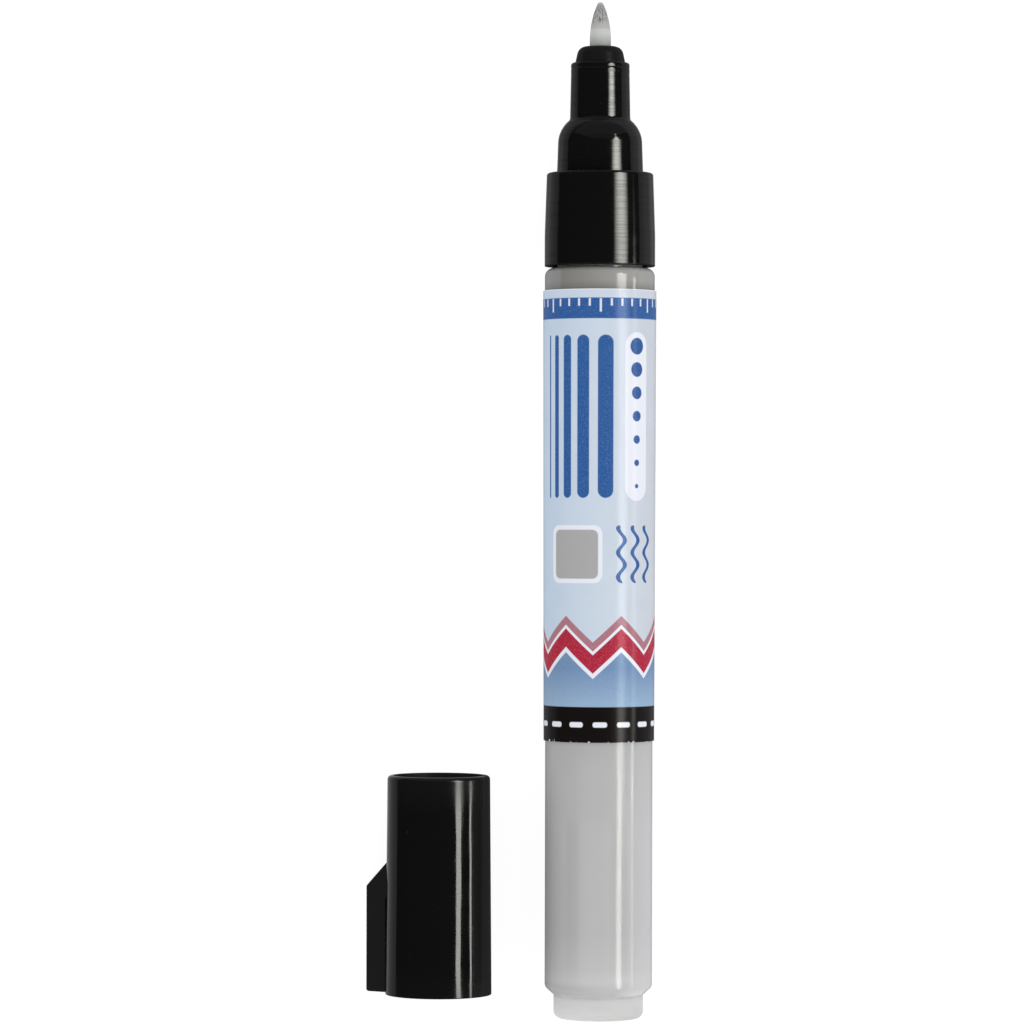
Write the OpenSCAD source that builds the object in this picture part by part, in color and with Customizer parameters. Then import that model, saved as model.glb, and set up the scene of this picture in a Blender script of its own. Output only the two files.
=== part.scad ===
// Paint marker: a felt-tip pen with a pump valve, lying on its side, with its cap off beside it.
// Each piece is drawn upright on the Z axis, with the butt at 0 and the nib on top, and then laid down:
// the pen's axis becomes Y, the nib points along +Y, and the origin is the centre of the butt's flat face.
// All sizes are in millimetres.

/* [Barrel] */
// Outer radius of the straight stretch behind the label
barrel_r = 7.32; // [6.1:0.02:8.8]
// How much wider the barrel is at its front shoulder, on the radius
barrel_draft = 0.18; // [0:0.02:0.4]
// Wall of the straight stretch
barrel_wall = 1.17; // [0.9:0.01:1.5]
// Height of the slope at the barrel's rear end
barrel_slope_h = 1.05; // [0.6:0.05:2]
// Rounding between that slope and the straight stretch
barrel_corner_r = 1; // [0.2:0.05:1.5]
// Length from the outer end of that slope to the label
grip_len = 33.65; // [25:0.05:45]
// Bare stretch between the label and the front shoulder
bare_front = 1.45; // [0.5:0.05:4]
// Outer radius of the neck inside the collar
neck_r = 5.85; // [5.4:0.05:6]
// Wall of the neck
neck_wall = 1; // [0.8:0.05:1.2]
// Number of ribs on the neck that grip the collar
neck_ribs = 3; // [1:1:3]
// Width of one neck rib
neck_rib_w = 0.9; // [0.5:0.05:1.2]
// Least height of a neck rib
neck_rib_h = 0.6; // [0.3:0.05:0.8]

/* [Tail plug] */
// Length of the stub that the cap is pushed onto
stub_len = 3.1; // [2.4:0.1:5]
// Rounding of the butt's edge
stub_edge_r = 0.95; // [0.4:0.05:1.2]
// How far the plug reaches into the barrel
plug_depth = 6.5; // [5:0.1:8]
// Wall of the plug
plug_wall = 1.2; // [0.8:0.05:1.6]
// Height of the plug's bead, which snaps into a groove inside the barrel
plug_bead_h = 0.2; // [0.1:0.05:0.4]
// Width of the bead where it leaves the plug
plug_bead_w = 1; // [0.6:0.1:1.6]

/* [Label] */
// Length of the label along the barrel
label_len = 61.2; // [40:0.1:80]
// Thickness of the label
label_t = 0.2; // [0.1:0.02:0.3]
// Gap between the label's two ends
label_seam = 1; // [0.5:0.1:3]
// Where that gap lies round the barrel, in degrees from the side, towards the back
label_seam_at = 55; // [0:5:180]

/* [Collar] */
// Length of the collar
collar_len = 12.7; // [11:0.1:18]
// Wall of the collar at its front
collar_wall = 0.75; // [0.5:0.05:1.2]
// Thickness of the lip that holds the front section down
collar_lip = 1.1; // [0.6:0.05:2]
// How much wider the collar is at its rear, on the radius
collar_flare = 0.28; // [0:0.02:0.5]
// Length over which the collar widens
collar_flare_len = 8.5; // [4:0.1:10]
// Rounding of the collar's front edge
collar_edge_r = 0.35; // [0.1:0.05:0.6]
// Gap between the collar's rear rim and the top of the barrel's shoulder
collar_rim_gap = 0.25; // [0.1:0.05:1]

/* [Front section] */
// Outer radius of the front section where it leaves the collar
dome_base_r = 5.87; // [5.4:0.01:7.1]
// How much narrower it is where the dome begins, on the radius
dome_draft = 0.14; // [0:0.02:0.3]
// Height of the near-straight stretch under the dome
dome_base_h = 4; // [3:0.1:8]
// Radius of the dome's curve, in the side view
dome_round = 4.1; // [3.4:0.1:5]
// Outer radius of the snout at the dome
snout_r = 4.1; // [3.8:0.05:4.95]
// How much narrower the snout is at its front, on the radius
snout_draft = 0.1; // [0:0.02:0.2]
// Fillet at the snout's foot
snout_foot_r = 0.6; // [0.2:0.05:0.7]
// Length of the snout
snout_len = 7.75; // [6:0.05:12]
// Rounding of the snout's front edge
snout_edge_r = 0.25; // [0.1:0.05:0.4]
// How far the groove near the snout's front lies behind that edge
groove_back = 0.78; // [0.6:0.02:1.2]
// Width of that groove
groove_w = 0.16; // [0.08:0.02:0.3]
// Depth of that groove
groove_d = 0.06; // [0.02:0.01:0.12]
// Wall of the snout at its front
snout_wall = 0.75; // [0.6:0.05:1]
// Wall under the dome
front_wall = 1.2; // [0.8:0.05:1.6]
// How far the front section's flange stands out under the collar's lip
flange_ledge = 0.58; // [0.4:0.02:1]
// Thickness of that flange
flange_t = 1.6; // [1:0.1:2.5]

/* [Nib holder] */
// How far the nose stands out over the snout's bore, on the radius
nose_ledge = 0.1; // [0.05:0.01:0.3]
// How much the nose narrows before its rounded edge, on the radius
nose_taper = 0.55; // [0:0.05:0.7]
// Length of the nose
nose_len = 2.35; // [1.6:0.05:4]
// Rounding of the nose's front edge
nose_edge_r = 0.9; // [0.3:0.05:1]
// How far the holder's tube reaches into the snout
holder_depth = 9.6; // [7:0.1:10]
// Length of the close bore that guides the nib
guide_len = 6; // [4:0.1:8]
// Radius of the wide bore behind the guide
holder_bore_r = 2.3; // [2:0.05:2.5]

/* [Nib] */
// Radius of the nib
nib_r = 1.45; // [1:0.05:1.75]
// Length of nib that shows in front of the nose
nib_out = 5.95; // [4:0.05:9]
// Length of the nib's tapered point
nib_point_len = 5.2; // [3.5:0.1:5.8]
// Radius of the very tip, about half the width of the drawn line
nib_tip_r = 0.42; // [0.2:0.02:0.6]
// Whole length of the nib
nib_len = 20.5; // [18:0.1:23]
// How far the nib pumps in
nib_travel = 2; // [1:0.1:2.5]

/* [Valve] */
// Thickness of the soft seat
seat_t = 0.8; // [0.5:0.05:1.2]
// Radius of the seat's hole
seat_hole_r = 1.7; // [1.6:0.05:2]
// Thickness of the seal on the neck's rim
seal_t = 0.6; // [0.4:0.05:1]
// Thickness of the cage's flange
cage_flange_t = 0.9; // [0.6:0.05:1.2]
// Wall of the cage
cage_wall = 0.9; // [0.6:0.05:1.1]
// Thickness of the cage's floor
cage_floor_t = 1; // [0.8:0.1:1.6]
// Number of windows that let the paint into the cage
cage_windows = 4; // [2:1:6]
// Height of a window
cage_window_h = 4; // [2:0.1:8]
// Width of a window
cage_window_w = 2.6; // [1.5:0.1:3]
// How far the windows' tops lie below the neck
cage_window_drop = 1; // [0.4:0.1:3]
// Radius of the valve stem
stem_r = 1.3; // [1:0.05:1.4]
// Radius of the head that closes the seat
stem_head_r = 2.6; // [2.2:0.05:3]
// Thickness of that head
stem_head_t = 1.3; // [0.8:0.1:2]
// Radius of the stem's tail
stem_tail_r = 0.8; // [0.5:0.05:1]
// How far the tail reaches into the cage's floor
stem_tail_in = 0.5; // [0.3:0.05:0.8]
// Length of the pilot under the head that centres the spring
pilot_len = 0.7; // [0.4:0.05:1]
// Number of flutes along the stem
stem_flutes = 3; // [2:1:4]
// Radius of a flute
flute_r = 0.4; // [0.2:0.05:0.5]
// Wire diameter of the spring
spring_wire = 0.45; // [0.3:0.05:0.6]
// Radius of the spring, to the middle of its wire
spring_r = 2; // [1.8:0.05:2.2]
// Turns of the spring
spring_turns = 8; // [4:1:9]

/* [Mixing ball] */
// Diameter of the ball
ball_d = 5; // [3:0.1:6]

/* [Cap] */
// Free length between the liner's end over the nib and the cap's closed end
cap_spare = 2.23; // [0.5:0.01:8]
// Wall of the cap at its mouth
cap_wall = 1.1; // [0.9:0.05:1.4]
// How much narrower the cap is at its closed end, on the radius
cap_draft = 0.25; // [0:0.05:0.4]
// Rounding of the closed end's edge
cap_edge_r = 0.55; // [0.2:0.05:0.9]
// Thickness of the closed end
crown_t = 1.2; // [0.9:0.1:1.6]
// Depth of the hollow in the closed end
crown_hollow = 1.2; // [0.3:0.1:2]
// Width of the rim round that hollow
crown_rim = 0.8; // [0.7:0.05:2]
// Length of the straight bore inside the mouth
cap_bore_len = 6; // [4:0.1:7]
// Lead-in chamfer of that bore
cap_lead = 0.3; // [0.1:0.05:0.6]
// Number of ribs that hold the liner
cap_ribs = 6; // [3:1:8]
// Width of one of those ribs
cap_rib_w = 1; // [0.6:0.1:1.6]
// Least height of one of those ribs
cap_rib_h = 0.3; // [0.1:0.05:0.6]
// Wall of the liner
liner_wall = 0.9; // [0.6:0.05:1]
// Free room round and beyond the nib inside the liner
nib_room = 0.9; // [0.4:0.1:1.5]
// Free room between the liner and the steps of the snout and nose
liner_room = 0.4; // [0.2:0.05:0.7]
// Thickness of the liner's end over the nib
liner_end_t = 1; // [0.6:0.1:1.5]

/* [Clip] */
// Length of the clip, from the cap's mouth to the top of its slope
clip_len = 18; // [14:0.1:26]
// Width of the clip
clip_w = 4.1; // [3:0.1:5]
// How far the clip stands out from the cap
clip_stand = 3.4; // [2.8:0.05:4]
// Gap between the clip's arm and the cap
clip_slot = 0.8; // [0.6:0.05:1.6]
// Wall of the clip's arm, which is hollow towards the cap
clip_wall = 1; // [0.8:0.05:1.2]
// Length of the solid root under the slope
clip_root = 1.4; // [0.8:0.1:3]
// Rounding of the clip's outer corners
clip_corner_r = 0.6; // [0.2:0.05:0.7]
// Rounding of the arm's long edges
clip_edge_r = 0.4; // [0.1:0.05:0.6]
// Height of the bead that grips a pocket
clip_bead = 0.5; // [0.2:0.05:0.5]
// How far the clip's end stays behind the cap's mouth
clip_short = 0.15; // [0:0.05:2]

/* [Where the cap lies] */
// Distance from the pen's axis to the cap's axis
cap_aside = 21.8; // [19:0.1:60]
// How far the cap's mouth lies in front of the butt
cap_along = 3.1; // [0:0.1:60]

/* [Clearances] */
// Radial play of pieces that are pressed together
press_gap = 0.05; // [0.02:0.01:0.1]
// Radial play of pieces that slide
slide_gap = 0.05; // [0.02:0.01:0.1]
// Play between the closed valve's head and its seat, and at the spring's ends
valve_gap = 0.05; // [0.02:0.01:0.1]
// Radial play of the spring on its pilot
pilot_gap = 0.1; // [0.05:0.01:0.2]
// Glue under the label
label_glue = 0.02; // [0.01:0.01:0.05]
// Least radial room between the cap's mouth and the front section
cap_room = 0.28; // [0.1:0.02:0.6]
// Play between the mixing ball and what stops it
ball_gap = 0.05; // [0.02:0.01:0.2]

/* [Hidden] */
$fn = 96;
arc_steps = 10;
// Share of a wall's thickness that the root of a rib or of the clip is sunk into it
root_share = 0.6;

// Barrel and tail plug
bore_r = barrel_r - barrel_wall;
stub_r = bore_r - press_gap;
plug_end_z = stub_len + plug_depth;
plug_bead_z = stub_len + plug_depth / 2;
slope_a = atan2(barrel_wall, barrel_slope_h);
corner_z = stub_len + barrel_slope_h + barrel_corner_r * tan(slope_a / 2);
label_z = stub_len + barrel_slope_h + grip_len;
shoulder_z = label_z + label_len + bare_front;
front_r = barrel_r + barrel_draft;
shoulder_r = front_r - neck_r;
shoulder_top_z = shoulder_z + shoulder_r;
neck_bore_r = neck_r - neck_wall;
neck_foot_z = shoulder_top_z - barrel_wall;
function barrel_r_at(z) = barrel_r + barrel_draft * (z - label_z) / (shoulder_z - label_z);

// Collar, and the stack of flanges that it clamps onto the neck
clamp_r = max(dome_base_r + flange_ledge, neck_r + neck_rib_h);
collar_bore_r = clamp_r + press_gap;
collar_z = shoulder_top_z + collar_rim_gap;
collar_front_z = collar_z + collar_len;
flange_top_z = collar_front_z - collar_lip;
front_z = flange_top_z - flange_t;
seat_z = front_z - seat_t;
cage_top_z = seat_z;
cage_seat_z = cage_top_z - cage_flange_t;
neck_top_z = cage_seat_z - seal_t;

// Front section and nib holder
dome_z = collar_front_z + dome_base_h;
dome_top_r = dome_base_r - dome_draft;
dome_axis_r = dome_top_r - dome_round;
dome_end_a = acos((snout_r - dome_axis_r) / dome_round);
foot_a = acos((snout_r + snout_foot_r - dome_axis_r) / (dome_round + snout_foot_r));
foot_z = dome_z + (dome_round + snout_foot_r) * sin(foot_a);
snout_z = dome_z + dome_round * sin(dome_end_a);
snout_front_z = snout_z + snout_len;
snout_front_r = snout_r - snout_draft;
snout_bore_r = snout_front_r - snout_wall;
groove_z = snout_front_z - groove_back;
nose_r = snout_bore_r + nose_ledge;
hollow_r = dome_base_r - front_wall;
nose_front_z = snout_front_z + nose_len;
holder_r = snout_bore_r - press_gap;
guide_r = nib_r + slide_gap;

// Nib and valve
nib_tip_z = nose_front_z + nib_out;
nib_rear_z = nib_tip_z - nib_len;
cage_r = neck_bore_r - press_gap;
cage_bore_r = cage_r - cage_wall;
cage_inside_z = neck_foot_z - cage_window_drop - cage_window_h;
cage_floor_z = cage_inside_z - cage_floor_t;
head_top_z = seat_z - valve_gap;
head_z = head_top_z - stem_head_t;
pilot_r = spring_r - spring_wire / 2 - pilot_gap;
stop_z = head_z - pilot_len - nib_travel - valve_gap;
tail_end_z = cage_inside_z - stem_tail_in;
spring_z = cage_inside_z + valve_gap;
spring_len = head_z - valve_gap - spring_z;
spring_rings = 16;
spring_sides = 6;

// Mixing ball, lying on the low side of the barrel and against the tail plug
ball_r = ball_d / 2;
ball_z = plug_end_z + ball_gap + ball_r;
ball_low = bore_r - ball_r - ball_gap;

// Cap, in its own upright frame with the mouth at 0
liner_bore_r = snout_r + slide_gap;
liner_r = liner_bore_r + liner_wall;
liner_z = snout_z - collar_front_z + liner_room;
liner_snout_z = snout_front_z - collar_front_z + liner_room;
liner_nose_z = nose_front_z - collar_front_z + liner_room;
liner_nib_z = nib_tip_z - collar_front_z + nib_room;
cap_bore_r = max(stub_r + slide_gap, dome_base_r + cap_room, liner_r + press_gap + cap_rib_h + cap_draft);
cap_mouth_r = cap_bore_r + cap_wall;
cap_crown_r = cap_mouth_r - cap_draft;
crown_z = liner_nib_z + liner_end_t + cap_spare;
crown_top_z = crown_z + crown_t;
cap_len = crown_top_z + crown_hollow;
rib_end_r = cap_bore_r - cap_draft + cap_wall * root_share;

// Collar's outside, flush with the cap
collar_front_r = max(collar_bore_r + collar_wall, cap_mouth_r);
collar_rear_r = collar_front_r + collar_flare;

// Clip, and how the cap lies on it
clip_r = cap_mouth_r + clip_stand;
clip_slope_z = clip_len - clip_stand;
clip_slot_z = clip_slope_z - clip_root;
clip_hollow_z = clip_short + 4 * clip_bead;
clip_bury_r = cap_mouth_r - cap_wall * root_share;
clip_edge_at = [clip_r - clip_edge_r, clip_w / 2 - clip_edge_r];
clip_lean = asin((cap_mouth_r - clip_edge_r) / norm(clip_edge_at)) - atan2(clip_edge_at[1], clip_edge_at[0]);
rest_r = max(barrel_r_at(label_z + label_len) + label_glue + label_t, collar_rear_r);
cap_drop = rest_r - cap_mouth_r;

// Points along an arc in the side view, from angle a0 to angle a1 about (r, z)
function arc(r, z, radius, a0, a1) = [
    for (i = [0:arc_steps])
        let (a = a0 + (a1 - a0) * i / arc_steps)
            [r + radius * cos(a), z + radius * sin(a)]];

// The bead between plug and barrel in the side view, on radius r, from its front end to its rear end
function bead(r) = [
    [r, plug_bead_z + plug_bead_w / 2], [r + plug_bead_h, plug_bead_z + plug_bead_w / 2 - plug_bead_h],
    [r + plug_bead_h, plug_bead_z - plug_bead_w / 2 + plug_bead_h], [r, plug_bead_z - plug_bead_w / 2]];

// A list back to front
function reversed(list) = [for (i = [len(list) - 1:-1:0]) list[i]];

// Lays an upright piece down along +Y
module lay() rotate([-90, 0, 0]) children();

// Sets an upright piece of the cap down beside the pen, on its mouth's edge and its clip
module lay_cap()
    translate([-cap_aside, cap_along, -cap_drop]) lay() rotate([0, 0, 180 - clip_lean]) children();

// A plain ring between two radii
module ring(inner, outer, z, height)
    rotate_extrude() translate([inner, z]) square([outer - inner, height]);

module barrel() color("silver") lay() {
    rotate_extrude() polygon(concat(
        [[bore_r, stub_len]],
        arc(barrel_r - barrel_corner_r, corner_z, barrel_corner_r, -slope_a, 0),
        [[barrel_r, label_z]],
        arc(neck_r, shoulder_z, shoulder_r, 0, 90),
        [[neck_r, neck_top_z], [neck_bore_r, neck_top_z], [neck_bore_r, neck_foot_z],
         [bore_r, neck_foot_z - (bore_r - neck_bore_r)]],
        bead(bore_r)));
    rib_step = (neck_top_z - collar_z) / neck_ribs;
    for (i = [0:neck_ribs - 1])
        ring(neck_r - neck_wall / 2, clamp_r, collar_z + (i + 0.5) * rib_step, neck_rib_w);
}

module tail_plug() color("lightgray") lay()
    rotate_extrude() polygon(concat(
        [[0, 0]],
        arc(stub_r - stub_edge_r, stub_edge_r, stub_edge_r, -90, 0),
        reversed(bead(stub_r)),
        [[stub_r, plug_end_z], [stub_r - plug_wall, plug_end_z],
         [stub_r - plug_wall, plug_wall], [0, plug_wall]]));

module label() color("lightsteelblue") lay() {
    inner_rear = barrel_r + label_glue;
    inner_front = barrel_r_at(label_z + label_len) + label_glue;
    seam_a = 2 * asin(label_seam / 2 / inner_rear);
    rotate([0, 0, label_seam_at + seam_a / 2]) rotate_extrude(angle = 360 - seam_a)
        polygon([[inner_rear, label_z], [inner_rear + label_t, label_z],
                 [inner_front + label_t, label_z + label_len], [inner_front, label_z + label_len]]);
}

module collar() color("#1a1a1a") lay()
    rotate_extrude() polygon(concat(
        [[collar_bore_r, collar_z], [collar_rear_r, collar_z],
         [collar_rear_r, collar_front_z - collar_flare_len]],
        arc(collar_front_r - collar_edge_r, collar_front_z - collar_edge_r, collar_edge_r, 0, 90),
        [[dome_base_r + press_gap, collar_front_z], [dome_base_r + press_gap, flange_top_z],
         [collar_bore_r, flange_top_z]]));

module front_section() color("#1a1a1a") lay()
    rotate_extrude() polygon(concat(
        [[hollow_r, front_z], [clamp_r, front_z], [clamp_r, flange_top_z],
         [dome_base_r, flange_top_z], [dome_base_r, collar_front_z]],
        arc(dome_axis_r, dome_z, dome_round, 0, foot_a),
        arc(snout_r + snout_foot_r, foot_z, snout_foot_r, 180 + foot_a, 180),
        [[snout_front_r, groove_z - groove_w / 2], [snout_front_r - groove_d, groove_z],
         [snout_front_r, groove_z + groove_w / 2]],
        arc(snout_front_r - snout_edge_r, snout_front_z - snout_edge_r, snout_edge_r, 0, 90),
        [[snout_bore_r, snout_front_z], [snout_bore_r, dome_z + hollow_r - snout_bore_r],
         [hollow_r, dome_z]]));

module nib_holder() color("#1f1f1f") lay()
    rotate_extrude() polygon(concat(
        [[holder_bore_r, snout_front_z - holder_depth], [holder_r, snout_front_z - holder_depth],
         [holder_r, snout_front_z], [nose_r, snout_front_z]],
        arc(nose_r - nose_taper - nose_edge_r, nose_front_z - nose_edge_r, nose_edge_r, 0, 90),
        [[guide_r, nose_front_z], [guide_r, nose_front_z - guide_len],
         [holder_bore_r, nose_front_z - guide_len - (holder_bore_r - guide_r)]]));

// The point is an arc that leaves the rod without a kink and runs without a kink into the round tip
module nib() color("gainsboro") lay() {
    run = nib_point_len - nib_tip_r;
    radius = (nib_r * nib_r - nib_tip_r * nib_tip_r + run * run) / (2 * (nib_r - nib_tip_r));
    sweep = asin(run / (radius - nib_tip_r));
    tip = arc(0, nib_tip_z - nib_tip_r, nib_tip_r, sweep, 90);
    rotate_extrude() polygon(concat(
        [[0, nib_rear_z], [nib_r, nib_rear_z]],
        arc(nib_r - radius, nib_tip_z - nib_point_len, radius, 0, sweep),
        [for (i = [1:arc_steps - 1]) tip[i]],
        [[0, nib_tip_z]]));
}

module neck_seal() color("dimgray") lay() ring(neck_bore_r, neck_r, neck_top_z, seal_t);

// Flanged cup with windows, and inside it the hollow post that guides the stem's tail and stops its stroke
module valve_cage() color("white") lay() difference() {
    rotate_extrude() polygon([
        [0, cage_floor_z], [cage_r, cage_floor_z], [cage_r, cage_seat_z], [clamp_r, cage_seat_z],
        [clamp_r, cage_top_z], [cage_bore_r, cage_top_z], [cage_bore_r, cage_inside_z],
        [pilot_r, cage_inside_z], [pilot_r, stop_z], [0, stop_z]]);
    translate([0, 0, cage_floor_z - cage_floor_t])
        cylinder(r = stem_tail_r + slide_gap, h = stop_z - cage_floor_z + 2 * cage_floor_t);
    for (i = [0:cage_windows - 1])
        rotate([0, 0, (i + 0.5) * 360 / cage_windows])
            translate([cage_bore_r - cage_wall, -cage_window_w / 2, cage_inside_z])
                cube([3 * cage_wall, cage_window_w, cage_window_h]);
}

module valve_seat() color("darkgray") lay() ring(seat_hole_r, clamp_r, seat_z, seat_t);

module valve_stem() color("ivory") lay() difference() {
    rotate_extrude() polygon([
        [0, tail_end_z], [stem_tail_r, tail_end_z], [stem_tail_r, head_z - pilot_len],
        [pilot_r, head_z - pilot_len], [pilot_r, head_z], [stem_head_r, head_z],
        [stem_head_r, head_top_z], [stem_r, head_top_z], [stem_r, nib_rear_z], [0, nib_rear_z]]);
    for (i = [0:stem_flutes - 1])
        rotate([0, 0, i * 360 / stem_flutes])
            translate([stem_r, 0, head_top_z]) cylinder(r = flute_r, h = nib_rear_z, $fn = 24);
}

// One unbroken wire: rings of points along a helix, joined by triangles
function spring_point(i, j) = let (
    turn = i / spring_rings,
    rise = (spring_len - spring_wire) / spring_turns,
    tilt = atan2(rise, 2 * PI * spring_r),
    a = 360 * turn,
    b = 360 * j / spring_sides,
    out = spring_wire / 2 * cos(b),
    up = spring_wire / 2 * sin(b))
    [(spring_r + out) * cos(a) + up * sin(tilt) * sin(a),
     (spring_r + out) * sin(a) - up * sin(tilt) * cos(a),
     spring_z + spring_wire / 2 + rise * turn + up * cos(tilt)];

// Least gap between neighbouring turns, measured from point to point of the wire
function spring_gap() = min([for (i = [0:(spring_turns - 1) * spring_rings], j = [0:spring_sides - 1])
    for (k = [0:spring_sides - 1]) norm(spring_point(i, j) - spring_point(i + spring_rings, k))]);

module valve_spring() color("lightslategray") lay() {
    n = spring_turns * spring_rings;
    m = spring_sides;
    echo(least_gap_between_turns = spring_gap());
    polyhedron(
        points = [for (i = [0:n], j = [0:m - 1]) spring_point(i, j)],
        faces = concat(
            [for (j = [1:m - 2]) [0, j, j + 1]],
            [for (j = [1:m - 2]) [n * m, n * m + j + 1, n * m + j]],
            [for (i = [0:n - 1], j = [0:m - 1]) [i * m + j, i * m + m + j, i * m + (j + 1) % m]],
            [for (i = [0:n - 1], j = [0:m - 1])
                [i * m + (j + 1) % m, i * m + m + j, i * m + m + (j + 1) % m]]));
}

module mixing_ball() color("slategray") translate([0, ball_z, -ball_low]) sphere(r = ball_r);

// Side view of the clip: slope, arm, slot and bead, with its root buried in the cap's wall
module clip_profile() {
    arm_r = cap_mouth_r + clip_slot;
    half = clip_corner_r * tan(22.5);
    polygon(concat(
        [[clip_bury_r, clip_slot_z], [clip_bury_r, clip_len + cap_mouth_r - clip_bury_r]],
        arc(clip_r - clip_corner_r, clip_slope_z - half, clip_corner_r, 45, 0),
        arc(clip_r - clip_corner_r, clip_short + clip_corner_r, clip_corner_r, 0, -90),
        [[arm_r, clip_short], [arm_r, clip_slot_z]]));
    translate([arm_r, clip_short + 2 * clip_bead]) circle(r = clip_bead, $fn = 32);
}

// Cross-section of the clip, with its two outer edges rounded
module clip_section() {
    polygon(concat(
        [[0, -clip_w / 2]],
        arc(clip_edge_at[0], -clip_edge_at[1], clip_edge_r, -90, 0),
        arc(clip_edge_at[0], clip_edge_at[1], clip_edge_r, 0, 90),
        [[0, clip_w / 2]]));
}

module cap_shell() color("#161616") lay_cap() {
    rotate_extrude() polygon(concat(
        [[cap_bore_r + cap_lead, 0], [cap_mouth_r, 0]],
        arc(cap_crown_r - cap_edge_r, cap_len - cap_edge_r, cap_edge_r, 0, 90),
        [[cap_crown_r - crown_rim, cap_len], [cap_crown_r - crown_rim, crown_top_z], [0, crown_top_z],
         [0, crown_z], [cap_bore_r - cap_draft, crown_z], [cap_bore_r, cap_bore_len],
         [cap_bore_r, cap_lead]]));
    difference() {
        intersection() {
            translate([0, clip_w / 2, 0]) rotate([90, 0, 0]) linear_extrude(clip_w) clip_profile();
            linear_extrude(cap_len) clip_section();
        }
        translate([cap_mouth_r, clip_wall - clip_w / 2, clip_hollow_z])
            cube([clip_stand - clip_wall, clip_w - 2 * clip_wall, clip_slot_z - clip_hollow_z]);
    }
    intersection() {
        for (i = [0:cap_ribs - 1])
            rotate([0, 0, (i + 0.5) * 360 / cap_ribs])
                translate([0, -cap_rib_w / 2, liner_z])
                    cube([rib_end_r, cap_rib_w, crown_z + crown_t * root_share - liner_z]);
        ring(liner_r + press_gap, cap_mouth_r, 0, cap_len);
    }
}

module cap_liner() color("whitesmoke") lay_cap()
    rotate_extrude() polygon([
        [liner_bore_r, liner_z], [liner_r, liner_z], [liner_r, crown_z], [liner_bore_r, crown_z],
        [liner_bore_r, liner_nib_z + liner_end_t], [0, liner_nib_z + liner_end_t], [0, liner_nib_z],
        [nib_r + nib_room, liner_nib_z], [nib_r + nib_room, liner_nose_z],
        [nose_r + liner_room, liner_nose_z], [nose_r + liner_room, liner_snout_z],
        [liner_bore_r, liner_snout_z]]);

barrel();
tail_plug();
label();
collar();
front_section();
nib_holder();
nib();
neck_seal();
valve_cage();
valve_seat();
valve_stem();
valve_spring();
mixing_ball();
cap_shell();
cap_liner();
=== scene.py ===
"""A paint marker lying on a white table, seen from straight above, with its cap off beside it."""
import math

import bmesh
import bpy
from mathutils import Matrix, Vector


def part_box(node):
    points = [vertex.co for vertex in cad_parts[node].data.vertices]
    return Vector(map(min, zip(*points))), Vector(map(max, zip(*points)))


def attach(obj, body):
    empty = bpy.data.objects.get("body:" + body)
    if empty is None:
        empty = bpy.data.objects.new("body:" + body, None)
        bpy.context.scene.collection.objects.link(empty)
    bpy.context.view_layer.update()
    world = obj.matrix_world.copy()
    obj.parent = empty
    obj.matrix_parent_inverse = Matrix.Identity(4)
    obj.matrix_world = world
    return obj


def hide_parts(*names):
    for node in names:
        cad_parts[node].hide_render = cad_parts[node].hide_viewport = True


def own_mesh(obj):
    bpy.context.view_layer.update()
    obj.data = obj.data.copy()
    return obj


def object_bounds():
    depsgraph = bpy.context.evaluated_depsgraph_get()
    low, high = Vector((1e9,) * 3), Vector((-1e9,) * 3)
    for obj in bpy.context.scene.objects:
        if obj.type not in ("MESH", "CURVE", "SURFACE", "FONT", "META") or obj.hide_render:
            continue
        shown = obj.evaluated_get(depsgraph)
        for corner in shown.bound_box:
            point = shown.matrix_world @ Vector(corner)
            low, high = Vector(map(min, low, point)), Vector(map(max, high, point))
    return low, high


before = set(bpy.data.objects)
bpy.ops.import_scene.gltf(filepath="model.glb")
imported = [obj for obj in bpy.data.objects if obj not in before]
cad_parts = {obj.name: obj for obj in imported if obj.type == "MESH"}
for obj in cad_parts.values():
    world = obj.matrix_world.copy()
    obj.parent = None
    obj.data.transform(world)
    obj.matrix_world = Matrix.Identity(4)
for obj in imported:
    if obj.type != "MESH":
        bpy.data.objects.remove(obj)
cad_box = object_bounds()

MM = 0.001

# Sizes that the frame doesn't give, in millimetres and degrees
FIT = 0.05
FINE_EDGE = 0.1
BARREL_DRAFT = 0.18
BARREL_WALL = 1.17
BARREL_SLOPE = 1.05
BARREL_CORNER = 1.0
BARREL_SHORT = 0.12
SHOULDER_DROP = 1.65
SHOULDER_ROUND = 1.12
NECK_CORNER = 0.005
NECK_WALL = 1.0
NECK_RIBS = 3
NECK_RIB_W = 0.9
STUB_EDGE = 0.95
PLUG_WALL = 1.2
PLUG_EDGE = 0.2
PLUG_CORNER = 0.4
PLUG_BEAD_H = 0.2
PLUG_BEAD_W = 1.0
LABEL_THICK = 0.2
LABEL_SEAM = 1.0
LABEL_SEAM_AT = 145
COLLAR_WALL = 0.75
COLLAR_FLARE = 0.28
COLLAR_FLARE_LEN = 8.5
COLLAR_FLARE_ROUND = 30
COLLAR_LIP = 1.1
COLLAR_LIP_EDGE = 0.08
COLLAR_EDGE = 0.35
COLLAR_RIM_GAP = 0.25
DOME_BASE_R = 5.87
DOME_DRAFT = 0.14
DOME_BASE_H = 4.0
DOME_ROUND = 4.1
SNOUT_R = 4.1
SNOUT_DRAFT = 0.1
SNOUT_WALL = 0.75
SNOUT_FOOT = 0.6
SNOUT_EDGE = 0.33
SNOUT_EDGE_DROP = 0.02
REAR_RING_W = 0.58
FRONT_RING_W = 0.36
RING_ROUND = 4.5
GROOVE_BACK = 0.78
GROOVE_W = 0.16
GROOVE_DEEP = 0.06
FRONT_WALL = 1.2
NOSE_SPREAD = 0.07
NOSE_SHORT = 0.12
NOSE_TAPER = 0.41
NOSE_EDGE = 1.15
NOSE_FOOT_EDGE = 0.05
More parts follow.
